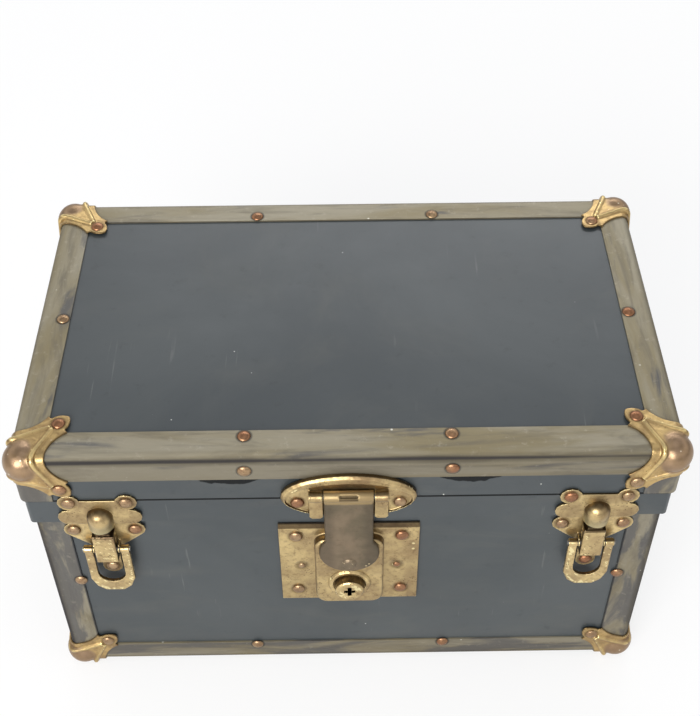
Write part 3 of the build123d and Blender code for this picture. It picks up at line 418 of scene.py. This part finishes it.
lid_rivet_aside, lid_rivet_in, lid_rivet_down = 0.047, 0.0123, 0.0098
long_metal = binding_metal(
    (0.14, 1, 1), (0, 1, 1), (0, lid_depth - 0.0002, lid_top - 0.0030),
    [
        (lid_rivet_aside, lid_depth - lid_rivet_in, lid_top),
        (lid_rivet_aside, lid_depth, lid_top - lid_rivet_down),
    ],
)
end_metal = binding_metal(
    (1, 0.16, 1), (1, 0, 1), (lid_half - 0.0002, 0, lid_top - 0.0030),
    [(lid_half - lid_rivet_in, 0, lid_top), (lid_half, 0, lid_top - lid_rivet_down)], shade=0.2,
)
upright_rivet_in, upright_rivet_height = 0.0148, 0.077
upright_metal = binding_metal(
    (1, 1, 0.26), (1, 1, 0), (body_half - 0.0011, body_front - 0.0009, 0),
    [
        (body_half - upright_rivet_in, body_front, upright_rivet_height),
        (body_half, body_front - upright_rivet_in, upright_rivet_height),
    ],
    shade=0.25, smeared=0.42, borders=[(0, body_half - strip), (1, body_front - strip)],
)
foot_rivet_aside, foot_rivet_height = 0.0495, body_foot + 0.0136
foot_metal = binding_metal(
    (0.14, 1, 1), (0, 1, 1), (0, body_front - 0.0009, body_foot + 0.0014),
    [(foot_rivet_aside, body_front, foot_rivet_height), (body_half, body_middle, foot_rivet_height)],
    shade=0.30, smeared=0.47, side_grain=(1, 0.14, 1),
)
dress(["lid_front_binding", "lid_back_binding"], finish("binding_long", long_metal))
dress(["lid_left_binding", "lid_right_binding"], finish("binding_end", end_metal))
dress(["body_corner_bindings", "lid_corner_bindings"], finish("binding_upright", upright_metal))
dress(["bottom_bindings"], finish("binding_foot", foot_metal))

# ---------------------------------------------------------------- corner caps
# Each cap is stamped from one piece of brass-plated steel: a round boss over the corner, and on
# each face a lobe with a raised arm that ends in a riveted leaf. The bosses have worn brown.

millimetre = 0.001
cap_sheet = 1.0
cap_bend = 4.0
arm_rise = 0.7
boss_radius = 9.4
boss_place = (5.6, 5.6, 6.9)
bead_radius = 1.3


def nothing_selected():
    if bpy.context.object and bpy.context.object.mode != "OBJECT":
        bpy.ops.object.mode_set(mode="OBJECT")
    bpy.ops.object.select_all(action="DESELECT")


def pick_only(piece):
    nothing_selected()
    piece.select_set(True)
    bpy.context.view_layer.objects.active = piece


def start_shaping():
    """Opens the picked piece for shaping, with all of it selected."""
    bpy.ops.object.mode_set(mode="EDIT")
    bpy.ops.mesh.select_all(action="SELECT")


def done_shaping():
    """Ends the shaping of a piece, with its faces turned outwards."""
    bpy.ops.mesh.select_all(action="SELECT")
    bpy.ops.mesh.normals_make_consistent(inside=False)
    bpy.ops.object.mode_set(mode="OBJECT")


def use(piece, kind, **settings):
    """Adds a modifier to a piece and applies it."""
    pick_only(piece)
    added = piece.modifiers.new(kind.lower(), kind)
    for name, value in settings.items():
        setattr(added, name, value)
    bpy.ops.object.modifier_apply(modifier=added.name)


def combine(piece, operation, other):
    """Unites a piece with another, cuts the other from it, or keeps what they share."""
    use(piece, "BOOLEAN", operation=operation, solver="EXACT", object=other)


def discard(*pieces):
    for piece in pieces:
        bpy.data.objects.remove(piece)


def joined(first, *others):
    """Joins pieces to the first of them, each keeping its own skin."""
    pick_only(first)
    for other in others:
        other.select_set(True)
    bpy.ops.object.join()
    return first


def settled(piece):
    """Puts a piece's place into its mesh, so that its object sits at the origin."""
    pick_only(piece)
    bpy.ops.object.transform_apply(location=True, rotation=True, scale=True)
    return piece


def corner_block(shift, radius):
    """A cube in the octant of the case, moved out by shift, with the edges at its corner rolled."""
    side = 40.0
    nothing_selected()
    bpy.ops.mesh.primitive_cube_add(size=side, location=(side / 2 - shift,) * 3)
    block = settled(bpy.context.object)
    bpy.ops.object.mode_set(mode="EDIT")
    bpy.ops.mesh.select_all(action="DESELECT")
    bpy.ops.object.mode_set(mode="OBJECT")
    corner = Vector((-shift,) * 3)
    for edge in block.data.edges:
        ends = [block.data.vertices[i].co for i in edge.vertices]
        edge.select = min((end - corner).length for end in ends) < 0.01
    bpy.ops.object.mode_set(mode="EDIT")
    bpy.context.tool_settings.mesh_select_mode = (False, True, False)
    bpy.ops.mesh.bevel(offset=radius, segments=8, profile=0.5, affect="EDGES")
    bpy.ops.object.mode_set(mode="OBJECT")
    return block


def arc_through(start, middle, end, count):
    """Points along the circle through three points, from the first to the last."""
    (ax, ay), (bx, by), (cx, cy) = start, middle, end
    d = 2 * (ax * (by - cy) + bx * (cy - ay) + cx * (ay - by))
    a, b, c = ax * ax + ay * ay, bx * bx + by * by, cx * cx + cy * cy
    across = (a * (by - cy) + b * (cy - ay) + c * (ay - by)) / d
    up = (a * (cx - bx) + b * (ax - cx) + c * (bx - ax)) / d
    centre = Vector((across, up))
    arms = [Vector(point) - centre for point in (start, middle, end)]
    turn = arms[0].angle_signed(arms[1]) + arms[1].angle_signed(arms[2])
    return [tuple(centre + Matrix.Rotation(-turn * i / count, 2) @ arms[0]) for i in range(count + 1)]


def plate(outline, low, high, axis):
    """A flat plate from an outline, between two levels along an axis (0 X, 1 Y, 2 Z)."""
    order = {0: (2, 0, 1), 1: (1, 2, 0), 2: (0, 1, 2)}[axis]
    ring = bpy.data.meshes.new("plate")
    corners = [[(u, v, low)[k] for k in order] for u, v in outline]
    ring.from_pydata(corners, [], [list(range(len(outline)))])
    made = bpy.data.objects.new("plate", ring)
    bpy.context.scene.collection.objects.link(made)
    pick_only(made)
    start_shaping()
    rise = [(0, 0, high - low)[k] for k in order]
    bpy.ops.mesh.extrude_region_move(TRANSFORM_OT_translate={"value": rise})
    done_shaping()
    return made


def both_ways(half):
    """A closed outline from the half of it that lies on one side of the diagonal."""
    return half + [(v, u) for u, v in reversed(half[1:]) if abs(u - v) > 0.01]


concave = arc_through((16.8, 1.5), (19.0, 9.0), (25.4, 15.4), 8)
leaf = arc_through((23.9, 17.0), (25.7, 20.6), (25.0, 25.0), 6)
cap_lobe = both_ways([(-4.0, -4.0), (16.8, -4.0)] + concave + leaf)
star_arm = both_ways([(-6.0, -6.0), (11.3, -6.0), (11.3, 0.6), (13.2, 5.6), (18.4, 17.0)])


def wrapped(outline, rise):
    """One piece of sheet over the corner, its outline repeated on the three faces."""
    plates = [plate(outline, -6.0, 6.0, axis) for axis in (0, 1, 2)]
    for other in plates[1:]:
        combine(plates[0], "UNION", other)
    whole = corner_block(rise, cap_bend + rise)
    combine(whole, "INTERSECT", plates[0])
    discard(*plates)
    return whole


def bead(points, thickness):
    """A round bead along a smooth line through points."""
    line = bpy.data.curves.new("bead", "CURVE")
    line.dimensions = "3D"
    line.bevel_depth = thickness
    line.bevel_resolution = 3
    line.resolution_u = 8
    line.use_fill_caps = True
    spline = line.splines.new("NURBS")
    spline.points.add(len(points) - 1)
    for point, place in zip(spline.points, points):
        point.co = (*place, 1.0)
    spline.use_endpoint_u = True
    spline.order_u = 3
    made = bpy.data.objects.new("bead", line)
    bpy.context.scene.collection.objects.link(made)
    pick_only(made)
    bpy.ops.object.convert(target="MESH")
    return bpy.context.object


star = wrapped(star_arm, cap_sheet + arm_rise)
nothing_selected()
bpy.ops.mesh.primitive_ico_sphere_add(subdivisions=5, radius=boss_radius, location=boss_place)
ball = settled(bpy.context.object)
combine(star, "UNION", ball)
use(star, "REMESH", mode="VOXEL", voxel_size=0.5)
use(star, "SMOOTH", factor=0.5, iterations=14)

half_bead = [(18.0, 17.2, -1.0), (15.2, 10.6, -1.1), (12.2, 4.4, -1.2), (11.3, 1.2, -1.15)]
half_bead.append((11.2, -0.1, -0.1))
bead_line = half_bead + [(x, z, y) for x, y, z in reversed(half_bead[:-1])]
beads = []
for turn in range(3):
    turned_line = [(p[-turn % 3], p[(1 - turn) % 3], p[(2 - turn) % 3]) for p in bead_line]
    beads.append(bead(turned_line, bead_radius))

cap = wrapped(cap_lobe, cap_sheet)
for other in (star, *beads):
    combine(cap, "UNION", other)
inside = corner_block(0.0, cap_bend)
combine(cap, "DIFFERENCE", inside)
discard(ball, star, inside, *beads)
use(cap, "REMESH", mode="VOXEL", voxel_size=0.28)
use(cap, "SMOOTH", factor=0.5, iterations=7)
use(cap, "DECIMATE", ratio=0.4)
cap.data.transform(Matrix.Scale(millimetre, 4))


def copied(piece, name, matrices):
    """One piece made of copies of another, each turned and placed by a matrix."""
    copies = []
    for matrix in matrices:
        twin = bpy.data.objects.new(name, piece.data.copy())
        twin.data.transform(matrix)
        bpy.context.scene.collection.objects.link(twin)
        copies.append(twin)
    whole = joined(*copies)
    whole.name = name
    whole.data.name = name
    return whole


def corner_matrices(half, front, back, level, up):
    """Brings a cap from the origin to each corner, turned so that the case lies to its inside."""
    made = []
    for right, rear in ((1, 1), (1, -1), (-1, 1), (-1, -1)):
        columns = [(right, 0, 0), (0, rear, 0), (0, 0, up)]
        if right * rear * up < 0:
            columns = [columns[1], columns[0], columns[2]]
        place = (-right * half, -front if rear > 0 else back, level)
        made.append(Matrix.Translation(place) @ Matrix(columns).transposed().to_4x4())
    return made


def finished(piece, material, body, node):
    """Gives a piece its material, its body and the node that it stands for."""
    pick_only(piece)
    bpy.ops.object.shade_smooth()
    piece.data.materials.clear()
    piece.data.materials.append(material)
    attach(piece, body)
    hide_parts(node)


lid_caps = copied(cap, "lid_caps", corner_matrices(lid_half, lid_depth, lid_depth, lid_top, -1))
foot_caps = copied(cap, "foot_caps", corner_matrices(body_half, body_front, body_back, body_foot, 1))
discard(cap)
pick_only(foot_caps)
start_shaping()
ground = (0, 0, 0.00002)
bpy.ops.mesh.bisect(plane_co=ground, plane_no=(0, 0, 1), clear_inner=True, use_fill=True, threshold=1e-6)
bpy.ops.object.mode_set(mode="OBJECT")


def convexity(place, low, high):
    """1 on edges and ridges, from the way that the surface bends."""
    return between(place.node("NewGeometry", {}, {}, out=7), low, high)


def cap_brass(middle, corner, up, faces):
    """The brass of the caps round a middle, whose corners point up or down.

    Each face that is given has a leaf with a rivet, well in from the corner along both edges.
    """
    boss_in, rivet_in, rivet_out = Vector(boss_place) * millimetre, 0.0205, 0.0010
    outwards = Vector((1, 1, up))
    boss = tuple(Vector(corner) - boss_in * outwards)
    spots = []
    for face in faces:
        spot = Vector((-rivet_in, -rivet_in, -rivet_in))
        spot[face] = rivet_out
        spots.append(tuple(Vector(corner) + spot * outwards))

    def make(place):
        fold = mirrored(place, (0, middle, 0))
        above = vector("MULTIPLY", vector("SUBTRACT", fold, corner), tuple(outwards))
        rise = along(above, 0)
        for axis in (1, 2):
            rise = rise.math("MAXIMUM", rise, along(above, axis))
        raised = between(rise, 0.00115, 0.00150)
        patch = cloud(place, 120, 4, 0.6, 0.6)
        tarnish = cloud(place, 340, 5, 0.68)
        dents = cloud(place, 210, 2, 0.5)
        on_boss = 1.0 - between(distance(fold, boss) + (patch - 0.5) * 0.0022, 0.0090, 0.0106)
        ridge = convexity(place, 0.505, 0.54)
        crease = 1.0 - convexity(place, 0.43, 0.495)
        colour = tint(between(patch, 0.35, 0.70), tone(190, 162, 110), tone(150, 124, 86))
        colour = tint(between(tarnish, 0.52, 0.74) * 0.55, colour, tone(112, 86, 56))
        colour = tint(on_boss * 0.85, colour, tint(tarnish, tone(108, 86, 70), tone(160, 134, 114)))
        # Painted highlight on the raised ridges and beads, less on the boss; painted shade on the other
        # ridges, and painted shade with tarnish in the creases.
        colour = tint(ridge * raised * 0.85 * (1.0 - on_boss * 0.7), colour, tone(250, 234, 170))
        colour = tint(ridge * (1.0 - raised) * 0.6, colour, tone(78, 60, 38))
        colour = tint(crease * 0.85, colour, tone(50, 38, 26))
        colour = tint(round_rivets(fold, spots, 0.0030, 0.0046) * 0.55, colour, tone(84, 64, 42))
        # Painted glints: small white highlights, strongest on the boss.
        painted_glints = specks(place, 330, 0.10, 0.20, 0.86)
        colour = tint(painted_glints * (0.3 + on_boss * 0.6), colour, tone(236, 222, 196))
        return {
            "Base Color": colour,
            "Metallic": 0.9,
            "Roughness": 0.26 + tarnish * 0.22 - ridge * 0.06,
            "Normal": relief(tarnish, 0.00012, 0.6, relief(dents, 0.0006, 0.45)),
        }

    return make


lid_corner = (lid_half, lid_depth, lid_top)
foot_corner = (body_half, (body_back + body_front) / 2, body_foot)
lid_cap_metal = finish("lid_cap_brass", cap_brass(0.0, lid_corner, 1, (0, 1, 2)))
foot_cap_metal = finish("foot_cap_brass", cap_brass(body_middle, foot_corner, -1, (0, 1)))
finished(lid_caps, lid_cap_metal, "lid", "lid_corner_caps")
finished(foot_caps, foot_cap_metal, "trunk_body", "bottom_corner_caps")

# ---------------------------------------------------------------- rivets
# Domed heads of coppered steel, set by hand, so no two sit quite alike. They are dark round
# the edge of the head and shine where they are rubbed.

head_radius, head_rise = 2.80, 1.44
ball_cut = 0.18
rim_drop, rim_flare, rim_lift = 0.16, 1.035, 0.12
head_seat = 2.85  # the head of a solid's rivet whose place a made head takes at its own size

nothing_selected()
bpy.ops.mesh.primitive_uv_sphere_add(segments=28, ring_count=16, radius=1.0)
dome = bpy.context.object
start_shaping()
bpy.ops.mesh.bisect(plane_co=(0, 0, ball_cut), plane_no=(0, 0, 1), clear_inner=True)
bpy.ops.mesh.select_all(action="SELECT")
bpy.ops.transform.translate(value=(0, 0, -ball_cut))
bpy.ops.transform.resize(value=(head_radius, head_radius, head_rise), center_override=(0, 0, 0))
bpy.ops.mesh.select_all(action="DESELECT")
bpy.ops.mesh.select_non_manifold()
bpy.ops.mesh.extrude_edges_move(TRANSFORM_OT_translate={"value": (0, 0, -rim_drop)})
bpy.ops.transform.resize(value=(rim_flare, rim_flare, 1), center_override=(0, 0, 0))
bpy.ops.mesh.edge_face_add()
bpy.ops.mesh.select_all(action="SELECT")
bpy.ops.transform.translate(value=(0, 0, rim_lift))
done_shaping()
dome.data.transform(Matrix.Scale(millimetre, 4))


def islands(node):
    """The separate solids of a node, each as the places of its corners."""
    loose = bmesh.new()
    loose.from_mesh(nodes[node].data)
    bmesh.ops.remove_doubles(loose, verts=loose.verts, dist=1e-6)
    left = set(loose.verts)
    found = []
    while left:
        group, waiting = [], [left.pop()]
        while waiting:
            vertex = waiting.pop()
            group.append(vertex.co.copy())
            for link in vertex.link_edges:
                other = link.other_vert(vertex)
                if other in left:
                    left.remove(other)
                    waiting.append(other)
        found.append(sorted(group, key=tuple))
    loose.free()
    return sorted(found, key=lambda group: tuple(group[0]))


def head_matrices(node):
    """Where each rivet head of a node goes: on its seat, facing out, at its size, a little askew."""
    made = []
    for number, points in enumerate(islands(node)):
        spans = [max(p[k] for p in points) - min(p[k] for p in points) for k in range(3)]
        axis = spans.index(min(spans))
        middle = min(p[axis] for p in points) + spans[axis] / 2
        rings = []
        for ring in ([p for p in points if p[axis] < middle], [p for p in points if p[axis] >= middle]):
            centre = sum(ring, Vector()) / len(ring)
            rings.append((max((p - centre).length for p in ring), centre))
        (wide, seat), (_, crown) = sorted(rings, key=lambda ring: -ring[0])
        lean = Vector((math.sin(number * 2.4), math.cos(number * 1.7), math.sin(number * 4.1))) * 0.045
        outwards = ((crown - seat).normalized() + lean).normalized()
        turn = outwards.to_track_quat("Z", "Y").to_matrix().to_4x4()
        size = wide / (head_seat * millimetre) * (1.0 + 0.025 * math.sin(number * 3.3))
        made.append(Matrix.Translation(seat) @ turn @ Matrix.Scale(size, 4))
    return made


def copper(place):
    each = between(cloud(place, 31, 1), 0.42, 0.58)
    patch = cloud(place, 260, 3, 0.6)
    tarnish = cloud(place, 900, 3, 0.6)
    rim = 1.0 - convexity(place, 0.44, 0.52)
    colour = tint(each, tone(162, 136, 104), tone(150, 104, 74))
    colour = tint(between(patch, 0.35, 0.68) * 0.6, colour, tone(120, 90, 68))
    colour = tint(between(tarnish, 0.55, 0.75) * 0.6, colour, tone(76, 54, 40))
    colour = tint(rim * 0.8, colour, tone(44, 34, 28))
    return {
        "Base Color": colour,
        "Metallic": 0.88,
        "Roughness": 0.24 + tarnish * 0.2,
        "Normal": relief(tarnish, 0.00006, 0.5, relief(patch, 0.0003, 0.4)),
    }


coppered = finish("coppered_rivet", copper)
for name, node, body in (
    ("lid_rivet_heads", "lid_rivets", "lid"),
    ("body_rivet_heads", "body_rivets", "trunk_body"),
    ("lid_fitting_rivets", "lid_hardware_rivets", "lid"),
    ("body_fitting_rivets", "body_hardware_rivets", "trunk_body"),
):
    finished(copied(dome, name, head_matrices(node)), coppered, body, node)
discard(dome)

# ---------------------------------------------------------------- pressed brass fittings
# The lock, the hasp's plate, the draw bolts and the handle plates are stamped from sheet and
# brass-plated. Stamping leaves their edges soft, and the plating is pitted and tarnished.

hood_radius, hood_hollow = 6.15, 5.1
hood_drop, hollow_drop = 6.3, 8.0
hood_front, hood_height = -90.9, 133.6


def pressed(name, node, grain, passes=3, share=0.4):
    """A soft-edged pressing shaped on a node of the frame, with a grain in millimetres."""
    piece = bpy.data.objects.new(name, nodes[node].data.copy())
    piece.data.name = name
    bpy.context.scene.collection.objects.link(piece)
    pick_only(piece)
    start_shaping()
    bpy.ops.mesh.remove_doubles(threshold=1e-6)
    bpy.ops.object.mode_set(mode="OBJECT")
    piece.data.transform(Matrix.Scale(1 / millimetre, 4))
    use(piece, "REMESH", mode="VOXEL", voxel_size=grain)
    use(piece, "SMOOTH", factor=0.5, iterations=passes)
    if share < 1.0:
        use(piece, "DECIMATE", ratio=share)
    piece.data.transform(Matrix.Scale(millimetre, 4))
    return piece


def round_cup(radius, drop):
    """A solid cup about the origin: half a ball, drawn down by a drop."""
    nothing_selected()
    bpy.ops.mesh.primitive_uv_sphere_add(segments=48, ring_count=28, radius=radius)
    cup = bpy.context.object
    start_shaping()
    bpy.ops.mesh.bisect(plane_co=(0, 0, 0), plane_no=(0, 0, 1), clear_inner=True)
    bpy.ops.mesh.select_all(action="DESELECT")
    bpy.ops.mesh.select_non_manifold()
    bpy.ops.mesh.extrude_edges_move(TRANSFORM_OT_translate={"value": (0, 0, -drop)})
    bpy.ops.mesh.edge_face_add()
    done_shaping()
    return cup


def pressed_hood(x):
    """A draw bolt's hood: half a round cup of sheet, with a domed head, open below."""
    cup = round_cup(hood_radius, hood_drop)
    hollow = round_cup(hood_hollow, hollow_drop)
    combine(cup, "DIFFERENCE", hollow)
    discard(hollow)
    pick_only(cup)
    start_shaping()
    bpy.ops.mesh.bisect(plane_co=(0, 0.6, 0), plane_no=(0, 1, 0), clear_outer=True, use_fill=True)
    bpy.ops.object.mode_set(mode="OBJECT")
    cup.location = (x, hood_front, hood_height)
    settled(cup)
    cup.data.transform(Matrix.Scale(millimetre, 4))
    return cup


def fitting_brass(spots=(), middle=0.0, painted_side_shade=True, shadow=None, keyhole=None, dull=0.0):
    """Brass plating, darker round its rivets, which lie at spots from a middle on each side.

    Painted side shade darkens what faces neither front nor back. Above the height of a shadow a
    piece has painted shade, as under a hood or on a bevel, with a black line of painted shadow a
    little higher. A keyhole is the place of a hole in its front, painted black inside as shade, and
    a dull plating is browner.
    """

    def make(place):
        patch = cloud(place, 55, 5, 0.6, 0.3)
        tarnish = cloud(place, 480, 5, 0.68)
        dents = cloud(place, 150, 2, 0.5)
        pits = place.node("TexVoronoi", {}, {"Vector": place, "Scale": 700, "Randomness": 1.0})
        pitted = (1.0 - between(pits, 0.12, 0.30)) * between(cloud(place, 120, 4), 0.52, 0.60)
        ridge = convexity(place, 0.52, 0.59)
        crease = 1.0 - convexity(place, 0.42, 0.49)
        colour = tint(between(patch, 0.30, 0.72), tone(216, 192, 138), tone(160, 136, 98))
        colour = tint(between(tarnish, 0.46, 0.74) * 0.55, colour, tone(104, 80, 52))
        colour = tint(pitted * 0.8, colour, tone(64, 46, 30))
        if dull:
            brown = dull * 0.5 + between(cloud(place, 75, 4), 0.42, 0.58) * dull
            colour = tint(brown, colour, tone(112, 90, 66))
        ring = 0.0
        if spots:
            fold = mirrored(mirrored(place), (middle, 0, 0))
            ring = round_rivets(fold, spots, 0.0032, 0.0050)
            colour = tint(ring * 0.55, colour, tone(76, 56, 34))
        # Painted shade on whatever faces neither front nor back: sides, tops and bottoms.
        if painted_side_shade:
            flank = 1.0 - between(abs(facing(place, 1)), 0.35, 0.80)
            colour = tint(flank * 0.8, colour, tone(62, 47, 30))
        # Painted highlight on the ridges, and painted shade with tarnish in the creases.
        colour = tint(ridge * 0.7, colour, tone(250, 236, 180))
        colour = tint(crease * 0.85, colour, tone(46, 34, 22))
        if shadow:
            # Painted shade above the shadow's height, and a black line of painted shadow just above it.
            high = along(place, 2)
            dim = between(high, shadow, shadow + 0.0006)
            colour = tint(dim * (0.7 + patch * 0.3), colour, tone(58, 44, 32))
            black = between(high, shadow + 0.0024, shadow + 0.0029)
            colour = tint(black * 0.9, colour, tone(14, 12, 10))
        if keyhole:
            # The inside of the keyhole is painted black as shade.
            across, front, height = keyhole
            off = distance(vector("MULTIPLY", place, (1, 0, 1)), (across, 0, height))
            deep = between(along(place, 1), front + 0.0005, front + 0.0009)
            colour = tint((1.0 - between(off, 0.0048, 0.0052)) * deep, colour, tone(6, 5, 4))
        return {
            "Base Color": colour,
            "Metallic": 0.9,
            "Roughness": 0.24 + tarnish * 0.22 + pitted * 0.2,
            "Normal": relief(tarnish * 0.5 - pitted - ring * 2.0, 0.00016, 0.8, relief(dents, 0.0009, 0.5)),
        }

    return make


# Rivets of the fittings: aside from a fitting's middle, out from the case's middle, and up.
bolt_rivets = [(0.01325, 0.0909, 0.1432), (0.0145, 0.0886, 0.1200), (0.0, 0.0886, 0.0907)]
lock_rivets = [(0.0256, 0.0884, 0.06825), (0.0256, 0.0884, 0.11215), (0.0234, 0.0862, 0.0884)]
oval_rivet = (0.0238, 0.0917, 0.1426)
leaf_rivets = [(0.0096, 0.0909, 0.14745), (0.0096, 0.0909, 0.12355)]
hinge_middle = 0.085
under_hood, lock_bevel = 0.1212, 0.1180
plug_front = -reach("key_plug", 1, -1)
plug_height = (reach("key_plug", 2) - reach("key_plug", 2, -1)) / 2
plain_brass = finish("plain_fitting_brass", fitting_brass(painted_side_shade=False))
lever_brass = finish("lever_brass", fitting_brass())
plug_brass = finish("plug_brass", fitting_brass(keyhole=(0, plug_front, plug_height)))
plate_brass = finish("bolt_plate_brass", fitting_brass(bolt_rivets, bolt_middle))
catch_brass = finish("catch_plate_brass", fitting_brass(bolt_rivets, bolt_middle, dull=0.35))
slide_brass = finish("slide_brass", fitting_brass(shadow=under_hood))
lock_brass = finish("lock_brass", fitting_brass(lock_rivets, shadow=lock_bevel, dull=0.2))
oval_brass = finish("oval_brass", fitting_brass([oval_rivet], dull=0.3))
leaf_brass = finish("hinge_leaf_brass", fitting_brass(leaf_rivets, hinge_middle))

for side, x in (("left", -bolt_middle), ("right", bolt_middle)):
    catch = pressed(side + "_catch", side + "_catch_plate", 0.26, 3, 1.0)
    catch = joined(catch, pressed_hood(x / millimetre))
    finished(catch, catch_brass, "lid", side + "_catch_plate")
    for name, node, body, metal, grain, passes, share in (
        ("_base", "_base_plate", "trunk_body", plate_brass, 0.26, 3, 1.0),
        ("_slide", "_bolt", side + "_bolt", slide_brass, 0.20, 3, 0.5),
        ("_ring", "_lever", side + "_lever", lever_brass, 0.20, 4, 0.5),
        ("_bail", "_handle", side + "_handle", plain_brass, 0.30, 8, 0.5),
    ):
        piece = pressed(side + name, side + node, grain, passes, share)
        finished(piece, metal, body, side + node)
for name, node, body, metal, grain in (
    ("lock_face", "lock_plate", "trunk_body", lock_brass, 0.36),
    ("key_collar", "lock_collar", "trunk_body", lever_brass, 0.18),
    ("key_barrel", "key_plug", "key_plug", plug_brass, 0.20),
    ("hasp_seat", "hasp_plate", "lid", oval_brass, 0.28),
    ("handle_seats", "handle_plates", "trunk_body", plain_brass, 0.30),
    ("body_hinge_leaves", "hinge_body_leaves", "trunk_body", leaf_brass, 0.28),
    ("lid_hinge_leaves", "hinge_lid_leaves", "lid", leaf_brass, 0.28),
):
    finished(pressed(name, node, grain), metal, body, node)

# ---------------------------------------------------------------- hasp
# The tongue of the lock is a heavier stamping with a crowned face. Its plating has worn away to
# a dull grey-brown, with a painted highlight along the edges and painted shade down the sides,
# and its staple's head is set in the pad.

barrel_foot, notch_height = 0.1452, 0.1519
notch_half, notch_half_height = 0.0042, 0.0009
crown_half = 0.0147


def hasp_brass(place):
    aside = along(place, 0)
    high = along(place, 2)
    patch = cloud(place, 70, 4, 0.6, 0.4)
    tarnish = cloud(place, 320, 4, 0.65)
    ridge = convexity(place, 0.53, 0.62)
    crease = 1.0 - convexity(place, 0.42, 0.49)
    barrel = between(high + (patch - 0.5) * 0.002, barrel_foot, barrel_foot + 0.0014)
    crown = 1.0 - aside * aside * (1 / crown_half ** 2)
    colour = tint(between(patch, 0.32, 0.70), tone(104, 94, 76), tone(128, 112, 92))
    colour = tint(between(tarnish, 0.52, 0.78) * 0.4, colour, tone(88, 76, 60))
    colour = tint(barrel * 0.8, colour, tone(160, 138, 98))
    # Painted shade down both sides of the crowned tongue.
    colour = tint(between(abs(aside), 0.0050, 0.0100) * (1.0 - barrel) * 0.35, colour, tone(60, 52, 42))
    # Painted highlight on the ridges, and painted shade with tarnish in the creases.
    colour = tint(ridge * 0.7, colour, tone(214, 196, 158))
    colour = tint(crease * 0.7, colour, tone(48, 40, 30))
    # Painted shade in the notch.
    notch = 1.0 - between(abs(aside), notch_half, notch_half + 0.0003)
    notch = notch * (1.0 - between(abs(high - notch_height), notch_half_height, notch_half_height + 0.0003))
    colour = tint(notch * 0.7, colour, tone(40, 30, 20))
    return {
        "Base Color": colour,
        "Metallic": 0.82,
        "Roughness": 0.38 + tarnish * 0.2,
        "Normal": relief(tarnish, 0.00006, 0.5, relief(crown, 0.0022, 1.0)),
    }


worn_brass = finish("worn_hasp_brass", hasp_brass)
finished(pressed("hasp_tongue", "hasp", 0.30, 5, 0.6), worn_brass, "hasp", "hasp")
finished(pressed("staple", "hasp_staple", 0.16, 6, 0.5), worn_brass, "hasp", "hasp_staple")

# ---------------------------------------------------------------- pins and cam
# Plain steel wire and sheet: the pivots of the hinges, the hasp and the draw bolts, and the
# lock's cam behind its face.


def plain_steel(place):
    patch = cloud(place, 400, 4, 0.6)
    colour = tint(between(patch, 0.4, 0.75), tone(150, 148, 142), tone(104, 96, 86))
    return {"Base Color": colour, "Metallic": 0.9, "Roughness": 0.34 + patch * 0.25}


dress(["hinge_pins", "hasp_pin", "draw_bolt_pins", "lock_cam"], finish("plain_steel", plain_steel))
